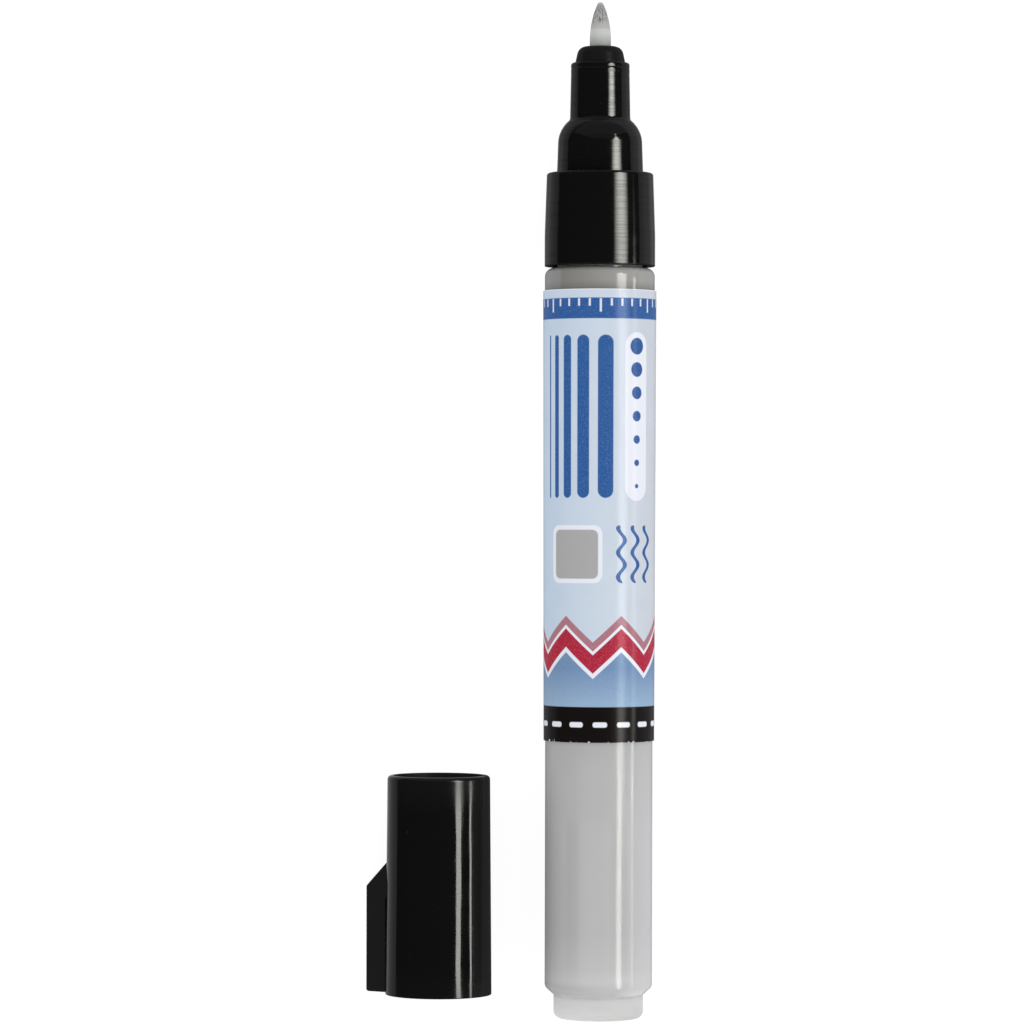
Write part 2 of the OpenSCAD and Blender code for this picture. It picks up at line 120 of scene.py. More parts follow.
GUIDE_LEN = 6.0
GUIDE_R = 1.5
HOLDER_BORE_R = 2.3
NIB_POINT = 5.2
NIB_TIP_R = 0.46
SPRING_WIRE = 0.45
SPRING_TURNS = 8
CAP_WALL = 1.1
CAP_DRAFT = 0.25
CAP_EDGE = 0.55
CAP_MOUTH_EDGE = 0.12
CAP_LEAD = 0.3
CAP_BORE_LEN = 6.0
CROWN_RIM = 0.8
CROWN_RIM_EDGE = 0.15
CROWN_HOLLOW = 1.2
CROWN_CORNER = 0.2
CROWN_THICK = 1.2
ROOF_CORNER = 0.3
CAP_RIBS = 6
CAP_RIB_W = 1.0
CLIP_LEN = 17.7
CLIP_W = 4.1
CLIP_STAND = 3.4
CLIP_SLOT = 0.15
CLIP_SLOT_EDGE = 0.05
CLIP_WALL = 1.0
CLIP_END = 2.0
CLIP_ROOT = 1.4
CLIP_SUNK = 0.66
CLIP_CORNER = 0.6
CLIP_EDGE = 0.4
CLIP_BEAD = 0.1
CLIP_SHORT = 0.02

# Fineness of the meshes, with lengths in millimetres and angles in degrees
AROUND = 192
CORNER_STEPS = 6
RING_STEPS = 8
ARC_STEPS = 12
DOME_STEPS = 24
NIB_STEPS = 32
LABEL_ROWS = 24
WIRE_SIDES = 12
TURN_STEPS = 48
SMOOTH_TO = 32
LONG_SPAN = 0.3
HOLD = 0.03
ON_AXIS = 1e-6

# Shares of the label's map: the printed side ends at the first, and the bare sides begin at the second
PRINT_SHARE = 0.96
BARE_SHARE = 0.98


def reach(node):
    """First and last station along the pen's axis and the largest radius of a round node, in millimetres."""
    low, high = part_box(node)
    return low.y / MM, high.y / MM, high.z / MM


def rounded(outline):
    """Points of a closed outline whose corners (a, b, rounding) become arcs."""
    points = []
    for i, corner in enumerate(outline):
        here = Vector(corner[:2])
        size = corner[2] if len(corner) > 2 else 0
        if not size:
            points.append(here)
            continue
        before = (Vector(outline[i - 1][:2]) - here).normalized()
        after = (Vector(outline[(i + 1) % len(outline)][:2]) - here).normalized()
        half = math.acos(max(-1, min(1, before.dot(after)))) / 2
        run = size / math.tan(half)
        centre = here + (before + after).normalized() * size / math.sin(half)
        start = here + before * run - centre
        end = here + after * run - centre
        sweep = math.atan2(start.x * end.y - start.y * end.x, start.dot(end))
        for k in range(CORNER_STEPS + 1):
            turn = Matrix.Rotation(sweep * k / CORNER_STEPS, 2)
            points.append(centre + turn @ start)
    return points


def arc(station, radius, size, start, end, steps=ARC_STEPS):
    """Points on an arc about (station, radius), between angles in degrees from outward towards the front."""
    found = []
    for k in range(steps + 1):
        a = math.radians(start + (end - start) * k / steps)
        found.append((station + size * math.sin(a), radius + size * math.cos(a)))
    return found


def held(outline):
    """A closed outline with points close to both ends of its long spans, which keep their shading straight.
    A span on the axis gets none."""
    points = []
    for one, two in zip(outline, outline[1:] + outline[:1]):
        here, there = Vector(one), Vector(two)
        points.append(here)
        if (there - here).length > LONG_SPAN and (here.y or there.y):
            step = (there - here).normalized() * HOLD
            points += [here + step, there - step]
    return points


def smooth(mesh):
    mesh.shade_smooth()
    mesh.set_sharp_from_angle(angle=math.radians(SMOOTH_TO))


def make(name, bm):
    """An object from bm, smooth except across sharp edges."""
    bmesh.ops.recalc_face_normals(bm, faces=bm.faces)
    mesh = bpy.data.meshes.new(name)
    bm.to_mesh(mesh)
    bm.free()
    smooth(mesh)
    piece = bpy.data.objects.new(name, mesh)
    bpy.context.scene.collection.objects.link(piece)
    return piece


def lathe(name, points):
    """A closed outline of (station, radius) points in millimetres, turned about the Y axis."""
    bm = bmesh.new()
    rings = []
    for station, radius in held(points):
        if radius < ON_AXIS:
            rings.append([bm.verts.new((0, station * MM, 0))] * AROUND)
            continue
        ring = []
        for k in range(AROUND):
            a = 2 * math.pi * k / AROUND
            ring.append(bm.verts.new((radius * MM * math.sin(a), station * MM, radius * MM * math.cos(a))))
        rings.append(ring)
    for one, two in zip(rings, rings[1:] + rings[:1]):
        for k in range(AROUND):
            corners = [one[k], one[(k + 1) % AROUND], two[(k + 1) % AROUND], two[k]]
            corners = list(dict.fromkeys(corners))
            if len(corners) > 2:
                bm.faces.new(corners)
    return make(name, bm)


def prism(name, outline, low, high, lay):
    """A closed outline of (a, b) points, carried from depth low to depth high.
    lay turns (a, b, depth) into x, y, z."""
    bm = bmesh.new()
    outline = held(outline)
    ends = []
    for depth in (low, high):
        ends.append([bm.verts.new(Vector(lay(a, b, depth)) * MM) for a, b in outline])
    count = len(outline)
    for k in range(count):
        after = (k + 1) % count
        bm.faces.new([ends[0][k], ends[0][after], ends[1][after], ends[1][k]])
    for end in ends:
        bm.faces.new(end)
    return make(name, bm)


def combine(base, operation, *others):
    """base after a boolean operation with each of the other solids, which are used up."""
    for other in others:
        step = base.modifiers.new("step", "BOOLEAN")
        step.operation = operation
        step.solver = "EXACT"
        step.object = other
    graph = bpy.context.evaluated_depsgraph_get()
    mesh = bpy.data.meshes.new_from_object(base.evaluated_get(graph))
    base.modifiers.clear()
    base.data = mesh
    for other in others:
        bpy.data.objects.remove(other)
    return base


def finish_piece(piece, material, body, node):
    """Gives a piece its material and body, and lets it stand for a CAD node."""
    piece.data.materials.clear()
    piece.data.materials.append(material)
    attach(piece, body)
    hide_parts(node)
    return piece


# Where the pieces lie

_, plug_y1, _ = reach("tail_plug")
barrel_y0, neck_y1, front_r = reach("barrel")
label_y0, label_y1, label_r = reach("label")
collar_y0, collar_y1, collar_r = reach("collar")
flange_y0, snout_y1, flange_r = reach("front_section")
holder_y0, nose_y1, nose_r = reach("nib_holder")
nib_y0, nib_y1, nib_r = reach("nib")
spring_y0, spring_y1, spring_r = reach("valve_spring")

barrel_r = front_r - BARREL_DRAFT
bore_r = barrel_r - BARREL_WALL
stub_r = bore_r - FIT
neck_r = front_r - SHOULDER_DROP
shoulder_y1 = collar_y0 - COLLAR_RIM_GAP
snout_front_r = SNOUT_R - SNOUT_DRAFT
snout_bore_r = snout_front_r - SNOUT_WALL

label_len = label_y1 - label_y0
label_first = LABEL_SEAM_AT - 360 + math.degrees(LABEL_SEAM / barrel_r) / 2
label_last = LABEL_SEAM_AT - math.degrees(LABEL_SEAM / barrel_r) / 2
label_width = math.radians(label_last - label_first) * label_r
label_top = -label_first / (label_last - label_first)

cap_low, cap_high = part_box("cap_shell")
liner_low, liner_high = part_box("cap_liner")
cap_len = (cap_high.y - cap_low.y) / MM
mouth_r = (cap_high.z - cap_low.z) / 2 / MM
crown_r = mouth_r - CAP_DRAFT
hollow_r = crown_r - CROWN_RIM
hollow_y = cap_len - CROWN_HOLLOW
cap_at = Vector((cap_high.x - mouth_r * MM, cap_low.y, (cap_high.z + cap_low.z) / 2))
liner_y0 = (liner_low.y - cap_low.y) / MM
liner_r = (liner_high.z - liner_low.z) / 2 / MM


# Materials

# Colours are linear and places are in millimetres. A pair of places, or of a noise's values, gives where a
# change begins and where it is complete, and two more numbers give the shares at those places
NOISE_LOW = 0.3
NOISE_MIDDLE = 0.5
NOISE_HIGH = 0.7
INK_EDGE = 0.06


def grey(level):
    return level, level, level


class Num:
    """A number that varies over a surface: the output socket of a node, with arithmetic."""

    def __init__(self, graph, socket):
        self.graph = graph
        self.socket = socket

    def __add__(self, other):
        return self.graph.math("ADD", self, other)

    def __sub__(self, other):
        return self.graph.math("SUBTRACT", self, other)

    def __mul__(self, other):
        return self.graph.math("MULTIPLY", self, other)

    def abs(self):
        return self.graph.math("ABSOLUTE", self)

    def sine(self):
        return self.graph.math("SINE", self)

    def wave(self, half):
        """Rises and falls in straight lines between 0 and half."""
        return self.graph.math("PINGPONG", self, half)

    def most(self, other):
        return self.graph.math("MAXIMUM", self, other)

    def least(self, other):
        return self.graph.math("MINIMUM", self, other)

    def between(self, low, high, out_low=0.0, out_high=1.0):
        """Runs evenly from out_low to out_high as this number goes from low to high."""
        return self.graph.map_range(self, low, high, out_low, out_high)

    def spread(self, out_low=0.0, out_high=1.0):
        """Runs evenly from out_low to out_high over the usual range of a noise."""
        return self.between(NOISE_LOW, NOISE_HIGH, out_low, out_high)

    def band(self, low, high, soft=INK_EDGE):
        """1 from low to high and 0 outside, with soft edges."""
        return self.between(low - soft, low + soft).least(self.between(high + soft, high - soft))


class Tree:
    """The nodes of a material or a lamp."""

    def __init__(self, owner):
        owner.use_nodes = True
        self.nodes = owner.node_tree.nodes
        self.links = owner.node_tree.links

    def join(self, source, target):
        self.links.new(source, target)

    def put(self, value, target):
        """Sets an input to a number, or links it to one that varies."""
        if isinstance(value, Num):
            self.join(value.socket, target)
        else:
            target.default_value = value

    def math(self, operation, a, b=0.0):
        node = self.nodes.new("ShaderNodeMath")
        node.operation = operation
        self.put(a, node.inputs[0])
        self.put(b, node.inputs[1])
        return Num(self, node.outputs[0])

    def split(self, vector):
        node = self.nodes.new("ShaderNodeSeparateXYZ")
        self.join(vector, node.inputs[0])
        return [Num(self, node.outputs[k]) for k in range(3)]


class Graph(Tree):
    """A material's nodes, with a principled shader at the end."""

    def __init__(self, name, **settings):
        self.material = bpy.data.materials.new(name)
        super().__init__(self.material)
        self.nodes.clear()
        output = self.nodes.new("ShaderNodeOutputMaterial")
        self.shader = self.nodes.new("ShaderNodeBsdfPrincipled")
        self.join(self.shader.outputs["BSDF"], output.inputs["Surface"])
        for key, value in settings.items():
            title = key.replace("_", " ").title().replace("Ior", "IOR")
            self.shader.inputs[title].default_value = value

    def map_range(self, value, low, high, out_low, out_high):
        node = self.nodes.new("ShaderNodeMapRange")
        self.put(value, node.inputs["Value"])
        node.inputs["From Min"].default_value = low
        node.inputs["From Max"].default_value = high
        node.inputs["To Min"].default_value = out_low
        node.inputs["To Max"].default_value = out_high
        return Num(self, node.outputs["Result"])

    def place(self, scale=(1, 1, 1)):
        """Where a point lies on the piece, in millimetres times scale."""
        where = self.nodes.new("ShaderNodeTexCoord")
        mapping = self.nodes.new("ShaderNodeMapping")
        mapping.inputs["Scale"].default_value = [s / MM for s in scale]
        self.join(where.outputs["Object"], mapping.inputs["Vector"])
        return mapping.outputs["Vector"]

    def axes(self):
        """The three coordinates of a point on the piece, in millimetres."""
        return self.split(self.place())

    def flat(self):
        """The two coordinates of a point on the piece's flat map, from 0 to 1."""
        node = self.nodes.new("ShaderNodeUVMap")
        node.uv_map = "OFBake"
        return self.split(node.outputs["UV"])[:2]

    def noise(self, size, stretch=(1, 1, 1), detail=2.0, rough=0.5):
        """Soft noise around 0.5 whose lumps are about size millimetres across, divided by stretch."""
        node = self.nodes.new("ShaderNodeTexNoise")
        node.inputs["Scale"].default_value = 1 / size
        node.inputs["Detail"].default_value = detail
        node.inputs["Roughness"].default_value = rough
        self.join(self.place(stretch), node.inputs["Vector"])
        return Num(self, node.outputs["Fac"])

    def patch(self, x, y, half_x, half_y, corner):
        """1 inside a rectangle about the zero of x and y, with rounded corners, and 0 outside."""
        over_x = (x.abs() - (half_x - corner)).most(0.0)
        over_y = (y.abs() - (half_y - corner)).most(0.0)
        away = self.math("SQRT", over_x * over_x + over_y * over_y)
        return away.between(corner + INK_EDGE, corner - INK_EDGE)

    def blend(self, mask, under, over):
        """Colour under, covered by colour over where mask is 1."""
        node = self.nodes.new("ShaderNodeMix")
        node.data_type = "RGBA"
        self.put(mask, node.inputs["Factor"])
        for colour, target in ((under, node.inputs["A"]), (over, node.inputs["B"])):
            if isinstance(colour, tuple):
                target.default_value = (*colour, 1)
            else:
                self.join(colour, target)
        return node.outputs["Result"]

    def paint(self, base, *layers):
        """Colour base under layers of (mask, strength, colour), with the last on top."""
        for mask, strength, colour in layers:
            base = self.blend(mask * strength, base, colour)
        return base

    def colour(self, socket):
        self.join(socket, self.shader.inputs["Base Color"])

    def gloss(self, value):
        self.join(value.socket, self.shader.inputs["Specular IOR Level"])

    def rough(self, value):
        self.join(value.socket, self.shader.inputs["Roughness"])

    def bump(self, height, depth):
        """Relief of height times depth millimetres."""
        node = self.nodes.new("ShaderNodeBump")
        node.inputs["Distance"].default_value = depth * MM
        self.join(height.socket, node.inputs["Height"])
        self.join(node.outputs["Normal"], self.shader.inputs["Normal"])


# Black plastic, polished and satin

BLACK = (0.0046, 0.0045, 0.0045)
BLACK_GLOSS = 0.17
POLISH_SPREAD = 0.04
RING_NOISE = (0.45, 0.65)
DUST = (0.03, 0.03, 0.029)
DUST_NOISE = (0.77, 0.82)
SATIN = grey(0.012)
SATIN_GLOSS_LOSS = 0.12
SATIN_ROUGHNESS = 0.45
SATIN_SOFT = 0.1
# Painted shade: the collar's rear face is dulled, standing for the shade between collar and shoulder
COLLAR_BACK = 0.05
CLIP_CLEAR = 0.05
CROWN_FLOOR = 0.3
CROWN_FLOOR_SOFT = 0.2
# Painted shade: the cap's side that faces the pen is dulled so that it mirrors less of the bright table
PEN_SIDE_SHADE = (5.7, 6.5)
CROWN_END = (-5.0, -1.5)
CROWN_END_DULL = 0.2
MOUTH_END = (4.0, 0.5)
MOUTH_END_DULL = 0.12
NOSE_SHADES = (grey(0.006), grey(0.0085))
NOSE_ROUGH = (0.27, 0.35)
NOSE_RELIEF = 0.006


def black_plastic(name, rings, sink, polish, dull):
    """Polished black moulding, with rings that weaken the gloss, hollows up to sink millimetres deep and a
    little dust. dull gives the share of the surface that is left satin, in places as painted shade."""
    g = Graph(name)
    g.bump(g.noise(size=5.0, stretch=(1, 0.5, 1), detail=1.0), sink)
    share = dull(g)
    ring = g.noise(size=0.18, stretch=(0.02, 1, 0.02), detail=2.0)
    g.gloss(ring.between(*RING_NOISE, BLACK_GLOSS, BLACK_GLOSS - rings) - share * SATIN_GLOSS_LOSS)
    g.rough(g.noise(size=3.0, detail=3.0).spread(polish, polish + POLISH_SPREAD) + share * SATIN_ROUGHNESS)
    dust = g.noise(size=0.28, detail=1.0).between(*DUST_NOISE)
    g.colour(g.blend(share, g.blend(dust, BLACK, DUST), SATIN))
    return g.material


def collar_back_shade(g):
    """1 on the rear face of the collar, dulled as painted shade so that it mirrors less of the bright table.
    """
    _, y, _ = g.axes()
    return (y - collar_y0).between(COLLAR_BACK + SATIN_SOFT, COLLAR_BACK)


def cap_dull_and_shade(g):
    """1 on the clip, in the hollow of the cap's closed end and along the side that faces the pen, and a
    little towards both ends of the cap's sides. The dull side that faces the pen is painted shade, mirroring
    less of the table there."""
    x, y, z = g.axes()
    r = g.math("SQRT", x * x + z * z)
    on_clip = (r - mouth_r).between(CLIP_CLEAR, CLIP_CLEAR + SATIN_SOFT)
    floor = (y - hollow_y + CROWN_FLOOR).between(0, CROWN_FLOOR_SOFT)
    hollow = (r - hollow_r).between(SATIN_SOFT, 0) * floor
    crown_end = (y - cap_len).between(*CROWN_END) * CROWN_END_DULL
    mouth_end = y.between(*MOUTH_END) * MOUTH_END_DULL
    # the side that faces the pen is painted shade
    return on_clip.most(hollow).most(x.between(*PEN_SIDE_SHADE)).most(crown_end.most(mouth_end))


def satin_plastic():
    """Black moulding with an eroded, satin surface."""
    g = Graph("black_satin", specular_ior_level=0.07)
    grain = g.noise(size=0.12, detail=3.0)
    g.bump(grain, NOSE_RELIEF)
    g.colour(g.blend(grain.spread(), *NOSE_SHADES))
    g.rough(grain.spread(*NOSE_ROUGH))
    return g.material


# The barrel's shades, with places along from its rear end or the label's edges, and across from the axis

BARREL_SHADES = (grey(0.415), grey(0.465))
BARREL_GLOSS = (0.14, 0.06)
BARREL_ROUGH = (0.11, 0.17)
BARREL_RELIEF = 0.02
NEAR_LABEL = grey(0.37)
NEAR_LABEL_AT = (-5, 0)
FILM = grey(0.50)
FILM_AT = (-9.5, -11.5)
STREAK = grey(0.36)
STREAK_NOISE = (0.52, 0.66)
SIDE_STREAK = grey(0.39)
SIDE_STREAK_AT = (-4.4, -2.8)
# Painted light: the right side, towards the lamps, is painted paler, more so towards the rear
LIT_RIGHT_SIDE = (0.49, 0.49, 0.505)
LIT_RIGHT_SIDE_AT = (3.0, 6.5)
LIT_RIGHT_SIDE_GAIN = (0, -14, 0.4, 1.0)
OVER_PLUG = grey(0.56)
OVER_PLUG_AT = (9, 0)
PALE_RING = grey(0.60)
PALE_RING_AT = (2.0, 3.4)
# Painted shade: the rounded rear corner is painted darker, most on the left, away from the lamps
SHADED_REAR_CORNER = (0.42, 0.42, 0.43)
SHADED_REAR_CORNER_AT = (0.4, 1.8)
SHADED_REAR_CORNER_GAIN = (5.5, -5.5, 0.05, 0.85)
# Painted light: the rear rim in the crease against the plug, and a wider rim on the right, are painted pale
# to lift the shade there
LIT_REAR_RIM = grey(0.80)
LIT_REAR_RIM_AT = (0.4, 0)
LIT_RIGHT_RIM_AT = (1.2, 0)
LIT_RIGHT_RIM_FROM = (2.0, 5.0)
# Painted shade: the left edge, away from the lamps, is painted darker
SHADED_LEFT_RIM = grey(0.25)
SHADED_LEFT_RIM_AT = (-6.3, -7.2)
# The shoulder's darker paint, with painted shade on its left and painted light on its right
SHOULDER_SHADES = ((0.205, 0.199, 0.187), (0.320, 0.317, 0.301))
SHOULDER_SHADE_TURN = (-5.0, 3.0)
SHOULDER_LEFT = grey(0.235)
SHOULDER_LEFT_AT = (-5.2, -5.5)
SHOULDER_RIGHT = (0.26, 0.26, 0.265)
SHOULDER_RIGHT_AT = (5.0, 7.0)
SHOULDER_FOOT = (0.115, 0.113, 0.108)
SHOULDER_FOOT_AT = (1.2, 0)
SHOULDER_AT = (-2, 0)
SHOULDER_POLISH = 0.08
WORN_SIDE = (3.5, 3.9)
WORN_FROM = (-8, -12)


def barrel_plastic():
    """Milky grey tube: darker paint at its shoulder, streaks where the paint clings, and paler over the plug.
    The right side of its rear part is worn, with less gloss. Painted light makes its right side and rear rim
    paler, and painted shade darkens its left edge, its rear corner and the left of its shoulder."""
    g = Graph("barrel_plastic", subsurface_weight=0.4, subsurface_scale=0.002, subsurface_radius=grey(1.0))
    x, y, _ = g.axes()
    from_rear = y - barrel_y0
    from_label = y - label_y0
    past_label = y - label_y1
    cloud = g.noise(size=9.0, stretch=(1, 0.2, 1), detail=3.0)
    streak = g.noise(size=2.6, stretch=(1, 0.03, 1), detail=1.0).between(*STREAK_NOISE)
    film_part = from_label.between(*FILM_AT)
    # painted light on the right of the rear rim
    lit_right_rim = from_rear.between(*LIT_RIGHT_RIM_AT) * x.between(*LIT_RIGHT_RIM_FROM)
    shoulder_part = past_label.between(*SHOULDER_AT)
    shoulder = g.paint(
        # painted shade on the left of the shoulder and painted light on its right
        g.blend(x.between(*SHOULDER_SHADE_TURN), *SHOULDER_SHADES),
        (x.between(*SHOULDER_LEFT_AT), 1.0, SHOULDER_LEFT),
        (x.between(*SHOULDER_RIGHT_AT), 0.5, SHOULDER_RIGHT),
        (past_label.between(*SHOULDER_FOOT_AT), 0.45, SHOULDER_FOOT))
    g.colour(g.paint(
        g.blend(cloud.spread(), *BARREL_SHADES),
        (from_label.between(*NEAR_LABEL_AT), 0.4, NEAR_LABEL),
        (film_part, 0.3, FILM),
        (streak * film_part, 0.3, STREAK),
        (x.band(*SIDE_STREAK_AT, soft=0.4) * film_part, 0.6, SIDE_STREAK),
        # painted light on the right side
        (x.between(*LIT_RIGHT_SIDE_AT) * from_label.between(*LIT_RIGHT_SIDE_GAIN), 1.0, LIT_RIGHT_SIDE),
        (from_rear.between(*OVER_PLUG_AT), 0.7, OVER_PLUG),
        (from_rear.band(*PALE_RING_AT, soft=0.5) * cloud, 0.5, PALE_RING),
        # painted shade on the rear corner
        (from_rear.band(*SHADED_REAR_CORNER_AT, soft=0.4) * x.between(*SHADED_REAR_CORNER_GAIN), 1.0, SHADED_REAR_CORNER),
        # painted light on the rear rim
        (from_rear.between(*LIT_REAR_RIM_AT).most(lit_right_rim), 1.0, LIT_REAR_RIM),
        # painted shade on the left edge
        (x.between(*SHADED_LEFT_RIM_AT), 0.44, SHADED_LEFT_RIM),
        (shoulder_part, 1.0, shoulder)))
    worn = x.between(*WORN_SIDE) * from_label.between(*WORN_FROM)
    g.gloss(worn.between(0.0, 1.0, *BARREL_GLOSS))
    g.rough(g.noise(size=4.0, detail=3.0).spread(*BARREL_ROUGH) - shoulder_part * SHOULDER_POLISH)
    g.bump(g.noise(size=5.0, stretch=(1, 0.2, 1), detail=1.0), BARREL_RELIEF)
    return g.material


# The plug's shades on the left and the right, at the butt and where it enters the barrel

# Painted light: the left side, away from the lamps, is painted paler than the right
PLUG_BUTT = ((0.56, 0.565, 0.56), (0.43, 0.435, 0.43))
PLUG_BUTT_AT = 0.4
# Painted light: where it enters the barrel, in the crease under the rim, the plug is painted paler still
PLUG_LIT_FOOT = ((0.87, 0.875, 0.87), (0.65, 0.655, 0.65))
PLUG_LIT_TURN = (-5.5, 5.5)
# Painted shadow: a patchy darker band on the plug just under the barrel's rim
PLUG_RIM_SHADOW = grey(0.62)
PLUG_RIM_SHADOW_AT = (-1.4, 0)
PLUG_RIM_SHADOW_NOISE = (0.4, 0.7)
PLUG_ROUGH = (0.5, 0.62)
PLUG_RELIEF = 0.004


def plug_plastic():
    """Natural plastic with a satin skin. Painted light makes its left side and the part where it enters the
    barrel paler, and a patchy painted shadow lies under the barrel's rim.
    """
    g = Graph("plug_plastic", subsurface_weight=0.8, subsurface_scale=0.006, subsurface_radius=grey(1.0),
              specular_ior_level=0.1)
    x, y, _ = g.axes()
    cloud = g.noise(size=4.0, detail=3.0)
    turn = x.between(*PLUG_LIT_TURN)
    # painted light on the left and by the barrel's rim
    shade = g.blend(y.between(PLUG_BUTT_AT, barrel_y0), g.blend(turn, *PLUG_BUTT), g.blend(turn, *PLUG_LIT_FOOT))
    # patchy painted shadow under the barrel's rim
    rim_shadow = (y - barrel_y0).between(*PLUG_RIM_SHADOW_AT) * cloud.between(*PLUG_RIM_SHADOW_NOISE)
    g.colour(g.blend(rim_shadow, shade, PLUG_RIM_SHADOW))
    g.rough(cloud.spread(*PLUG_ROUGH))
    g.bump(g.noise(size=0.3, detail=2.0), PLUG_RELIEF)
    return g.material


# The nib's shades, with places behind its tip

NIB_GROUND = ((0.29, 0.29, 0.285), (0.41, 0.41, 0.405))
NIB_GROUND_AT = (0.6, 3.6)
NIB_HAIR = grey(0.14)
NIB_HAIR_NOISE = (0.50, 0.38)
NIB_HAIR_AT = (0.7, 2.9)
NIB_HAIR_RAGGED = 1.6
NIB_SHAFT = ((0.46, 0.475, 0.47), (0.53, 0.54, 0.53))
NIB_SHAFT_AT = (3.6, 3.85)
# The shaft is darker towards where the nib enters the nose
NIB_DARKER_SHAFT = (0.31, 0.32, 0.295)
NIB_DARKER_SHAFT_AT = (4.4, 6.2)
NIB_WORN = (0.43, 0.43, 0.42)
NIB_WORN_AT = (0.5, 0.1)
NIB_ROUGH = (0.5, 0.75)
NIB_RELIEF = 0.02


def nib_fibre():
    """Bundle of pressed fibres: smooth where it is held, streaked and stained where ground to a point."""
    g = Graph("nib_fibre", specular_ior_level=0.1)
    _, y, _ = g.axes()
    strands = g.noise(size=0.32, stretch=(1, 0.05, 1), detail=3.0, rough=0.6)
    hairs = g.noise(size=0.21, stretch=(1, 0.04, 1), detail=1.0)
    back = (y - nib_y1).abs()
    ragged = (back + (strands - NOISE_MIDDLE) * NIB_HAIR_RAGGED).band(*NIB_HAIR_AT, soft=0.5)
    ground = g.blend(back.between(*NIB_GROUND_AT), *NIB_GROUND)
    ground = g.blend(hairs.between(*NIB_HAIR_NOISE) * ragged, ground, NIB_HAIR)
    shaft = g.blend(strands.spread(), *NIB_SHAFT)
    shaft = g.blend(back.between(*NIB_DARKER_SHAFT_AT), shaft, NIB_DARKER_SHAFT)
    tone = g.blend(back.between(*NIB_SHAFT_AT), ground, shaft)
    g.colour(g.blend(back.between(*NIB_WORN_AT), tone, NIB_WORN))
    g.rough(strands.spread(*NIB_ROUGH))
    g.bump(strands + hairs, NIB_RELIEF)
    return g.material


# The label's print, with places along the pen from the label's rear edge, and across from the pen's top

DEEP_BLUE = (0.024, 0.096, 0.300)
MID_BLUE = (0.150, 0.250, 0.420)
SOFT_BLUE = (0.27, 0.39, 0.55)
RED = (0.390, 0.016, 0.043)
PALE_RED = (0.380, 0.160, 0.200)
PRINT_BLACK = (0.008, 0.006, 0.006)
PAPER_WHITE = (0.730, 0.750, 0.820)
PAINT_GREY = grey(0.36)

WASH = ((0.47, 0.58, 0.71), (0.53, 0.60, 0.69))
WASH_AT = (-9.0, 0.0)
WASH_RIGHT = (0.52, 0.55, 0.61)
WASH_RIGHT_AT = (1.0, 9.0)
WASH_CLOUD = (0.66, 0.71, 0.77)
WASH_CLOUD_NOISE = (0.35, 0.75)

ZIGZAG_AT = 6.0
ZIGZAG_ASIDE = -1.0
ZIGZAG_HALF = 4.0
ZIGZAG_SLOPE = 0.9
ZIGZAG_EDGES = (-9.0, 2.6, 3.3, 5.8, 6.3, 7.5)
ZIGZAG_FADE = (5.0, 10.0)

SWATCH_AT = 25.4
SWATCH_ASIDE = -3.6
SWATCH_HALF = 3.3
SWATCH_CORNER = 0.8
BORDER_HALF = 3.9
BORDER_CORNER = 1.2
WAVES_ASIDE = (3.0, 5.2, 7.4)
WAVE_SWING = 0.5
WAVE_TURN = 1.9
WAVE_HALF_W = 0.32
WAVE_END = 0.3

STROKES_AT = 44.0
STROKES_ASIDE = (-8.2, -6.7, -4.8, -2.4, 0.7)
STROKE_HALF_LEN = 11.0
STROKE_HALF_W = 0.15
STROKE_GROWTH = 0.23
DOTS = 7
DOTS_ASIDE = 5.4
DOTS_HALF_LEN = 11.4
DOTS_HALF_W = 1.9
DOTS_START = 34.6
DOT_STEP = 3.15
DOT_R = 0.3
DOT_GROWTH = 0.14

SCALE_AT = (57.2, 60.0)
TICK_HALF_STEP = 0.75
TICK_AT = 59.4
TICK_HALF_LEN = 0.5
LONG_TICK_EVERY = 5
LONG_TICK_AT = 59.0
LONG_TICK_HALF_LEN = 0.9
TICK_HALF_W = 0.14
TICK_CORNER = 0.05

PANEL_AT = 38.0
PANEL_ASIDE = -22.0
PANEL_HALF_LEN = 17.0
PANEL_HALF_W = 6.5
PANEL_CORNER = 1.5
RULES = 5
RULE_STEP = 2.3
RULE_HALF_LEN = 15.0
RULE_HALF_W = 0.09
RULE_CORNER = 0.05

BAND_END = (4.85, 4.75)
DASH_AT = 2.4
DASH_HALF_STEP = 1.7
DASH_HALF_LEN = 1.0
DASH_HALF_W = 0.35
DASH_CORNER = 0.3
CHIP_NOISE = (0.56, 0.62)
CHIP_FALL = 0.5

WHITE_EDGE = (-0.15, -0.05)
BARE_SOFT = 0.005
GRAIN_NOISE = (0.5, 0.8)
GRAIN_SHARE = 0.12
LABEL_ROUGH = (0.17, 0.25)
LABEL_RELIEF = 0.004


def print_wash(g, across):
    """Pale blue ground, a little bluer on the left of the pen's top and greyer on the right."""
    return g.paint(
        g.blend(across.between(*WASH_AT), *WASH),
        (across.between(*WASH_RIGHT_AT), 1.0, WASH_RIGHT),
        (g.noise(size=4.0, detail=4.0).between(*WASH_CLOUD_NOISE), 0.2, WASH_CLOUD))


def print_zigzag(g, tone, across, along):
    """Blue, red and pale red bands that rise and fall round the barrel."""
    height = along - ZIGZAG_AT - (across - ZIGZAG_ASIDE).wave(ZIGZAG_HALF) * ZIGZAG_SLOPE
    blue = g.blend(along.between(*ZIGZAG_FADE), SOFT_BLUE, MID_BLUE)
    colours = (blue, PAPER_WHITE, RED, PAPER_WHITE, PALE_RED)
    for low, high, colour in zip(ZIGZAG_EDGES, ZIGZAG_EDGES[1:], colours):
        tone = g.blend(height.band(low, high), tone, colour)
    return tone


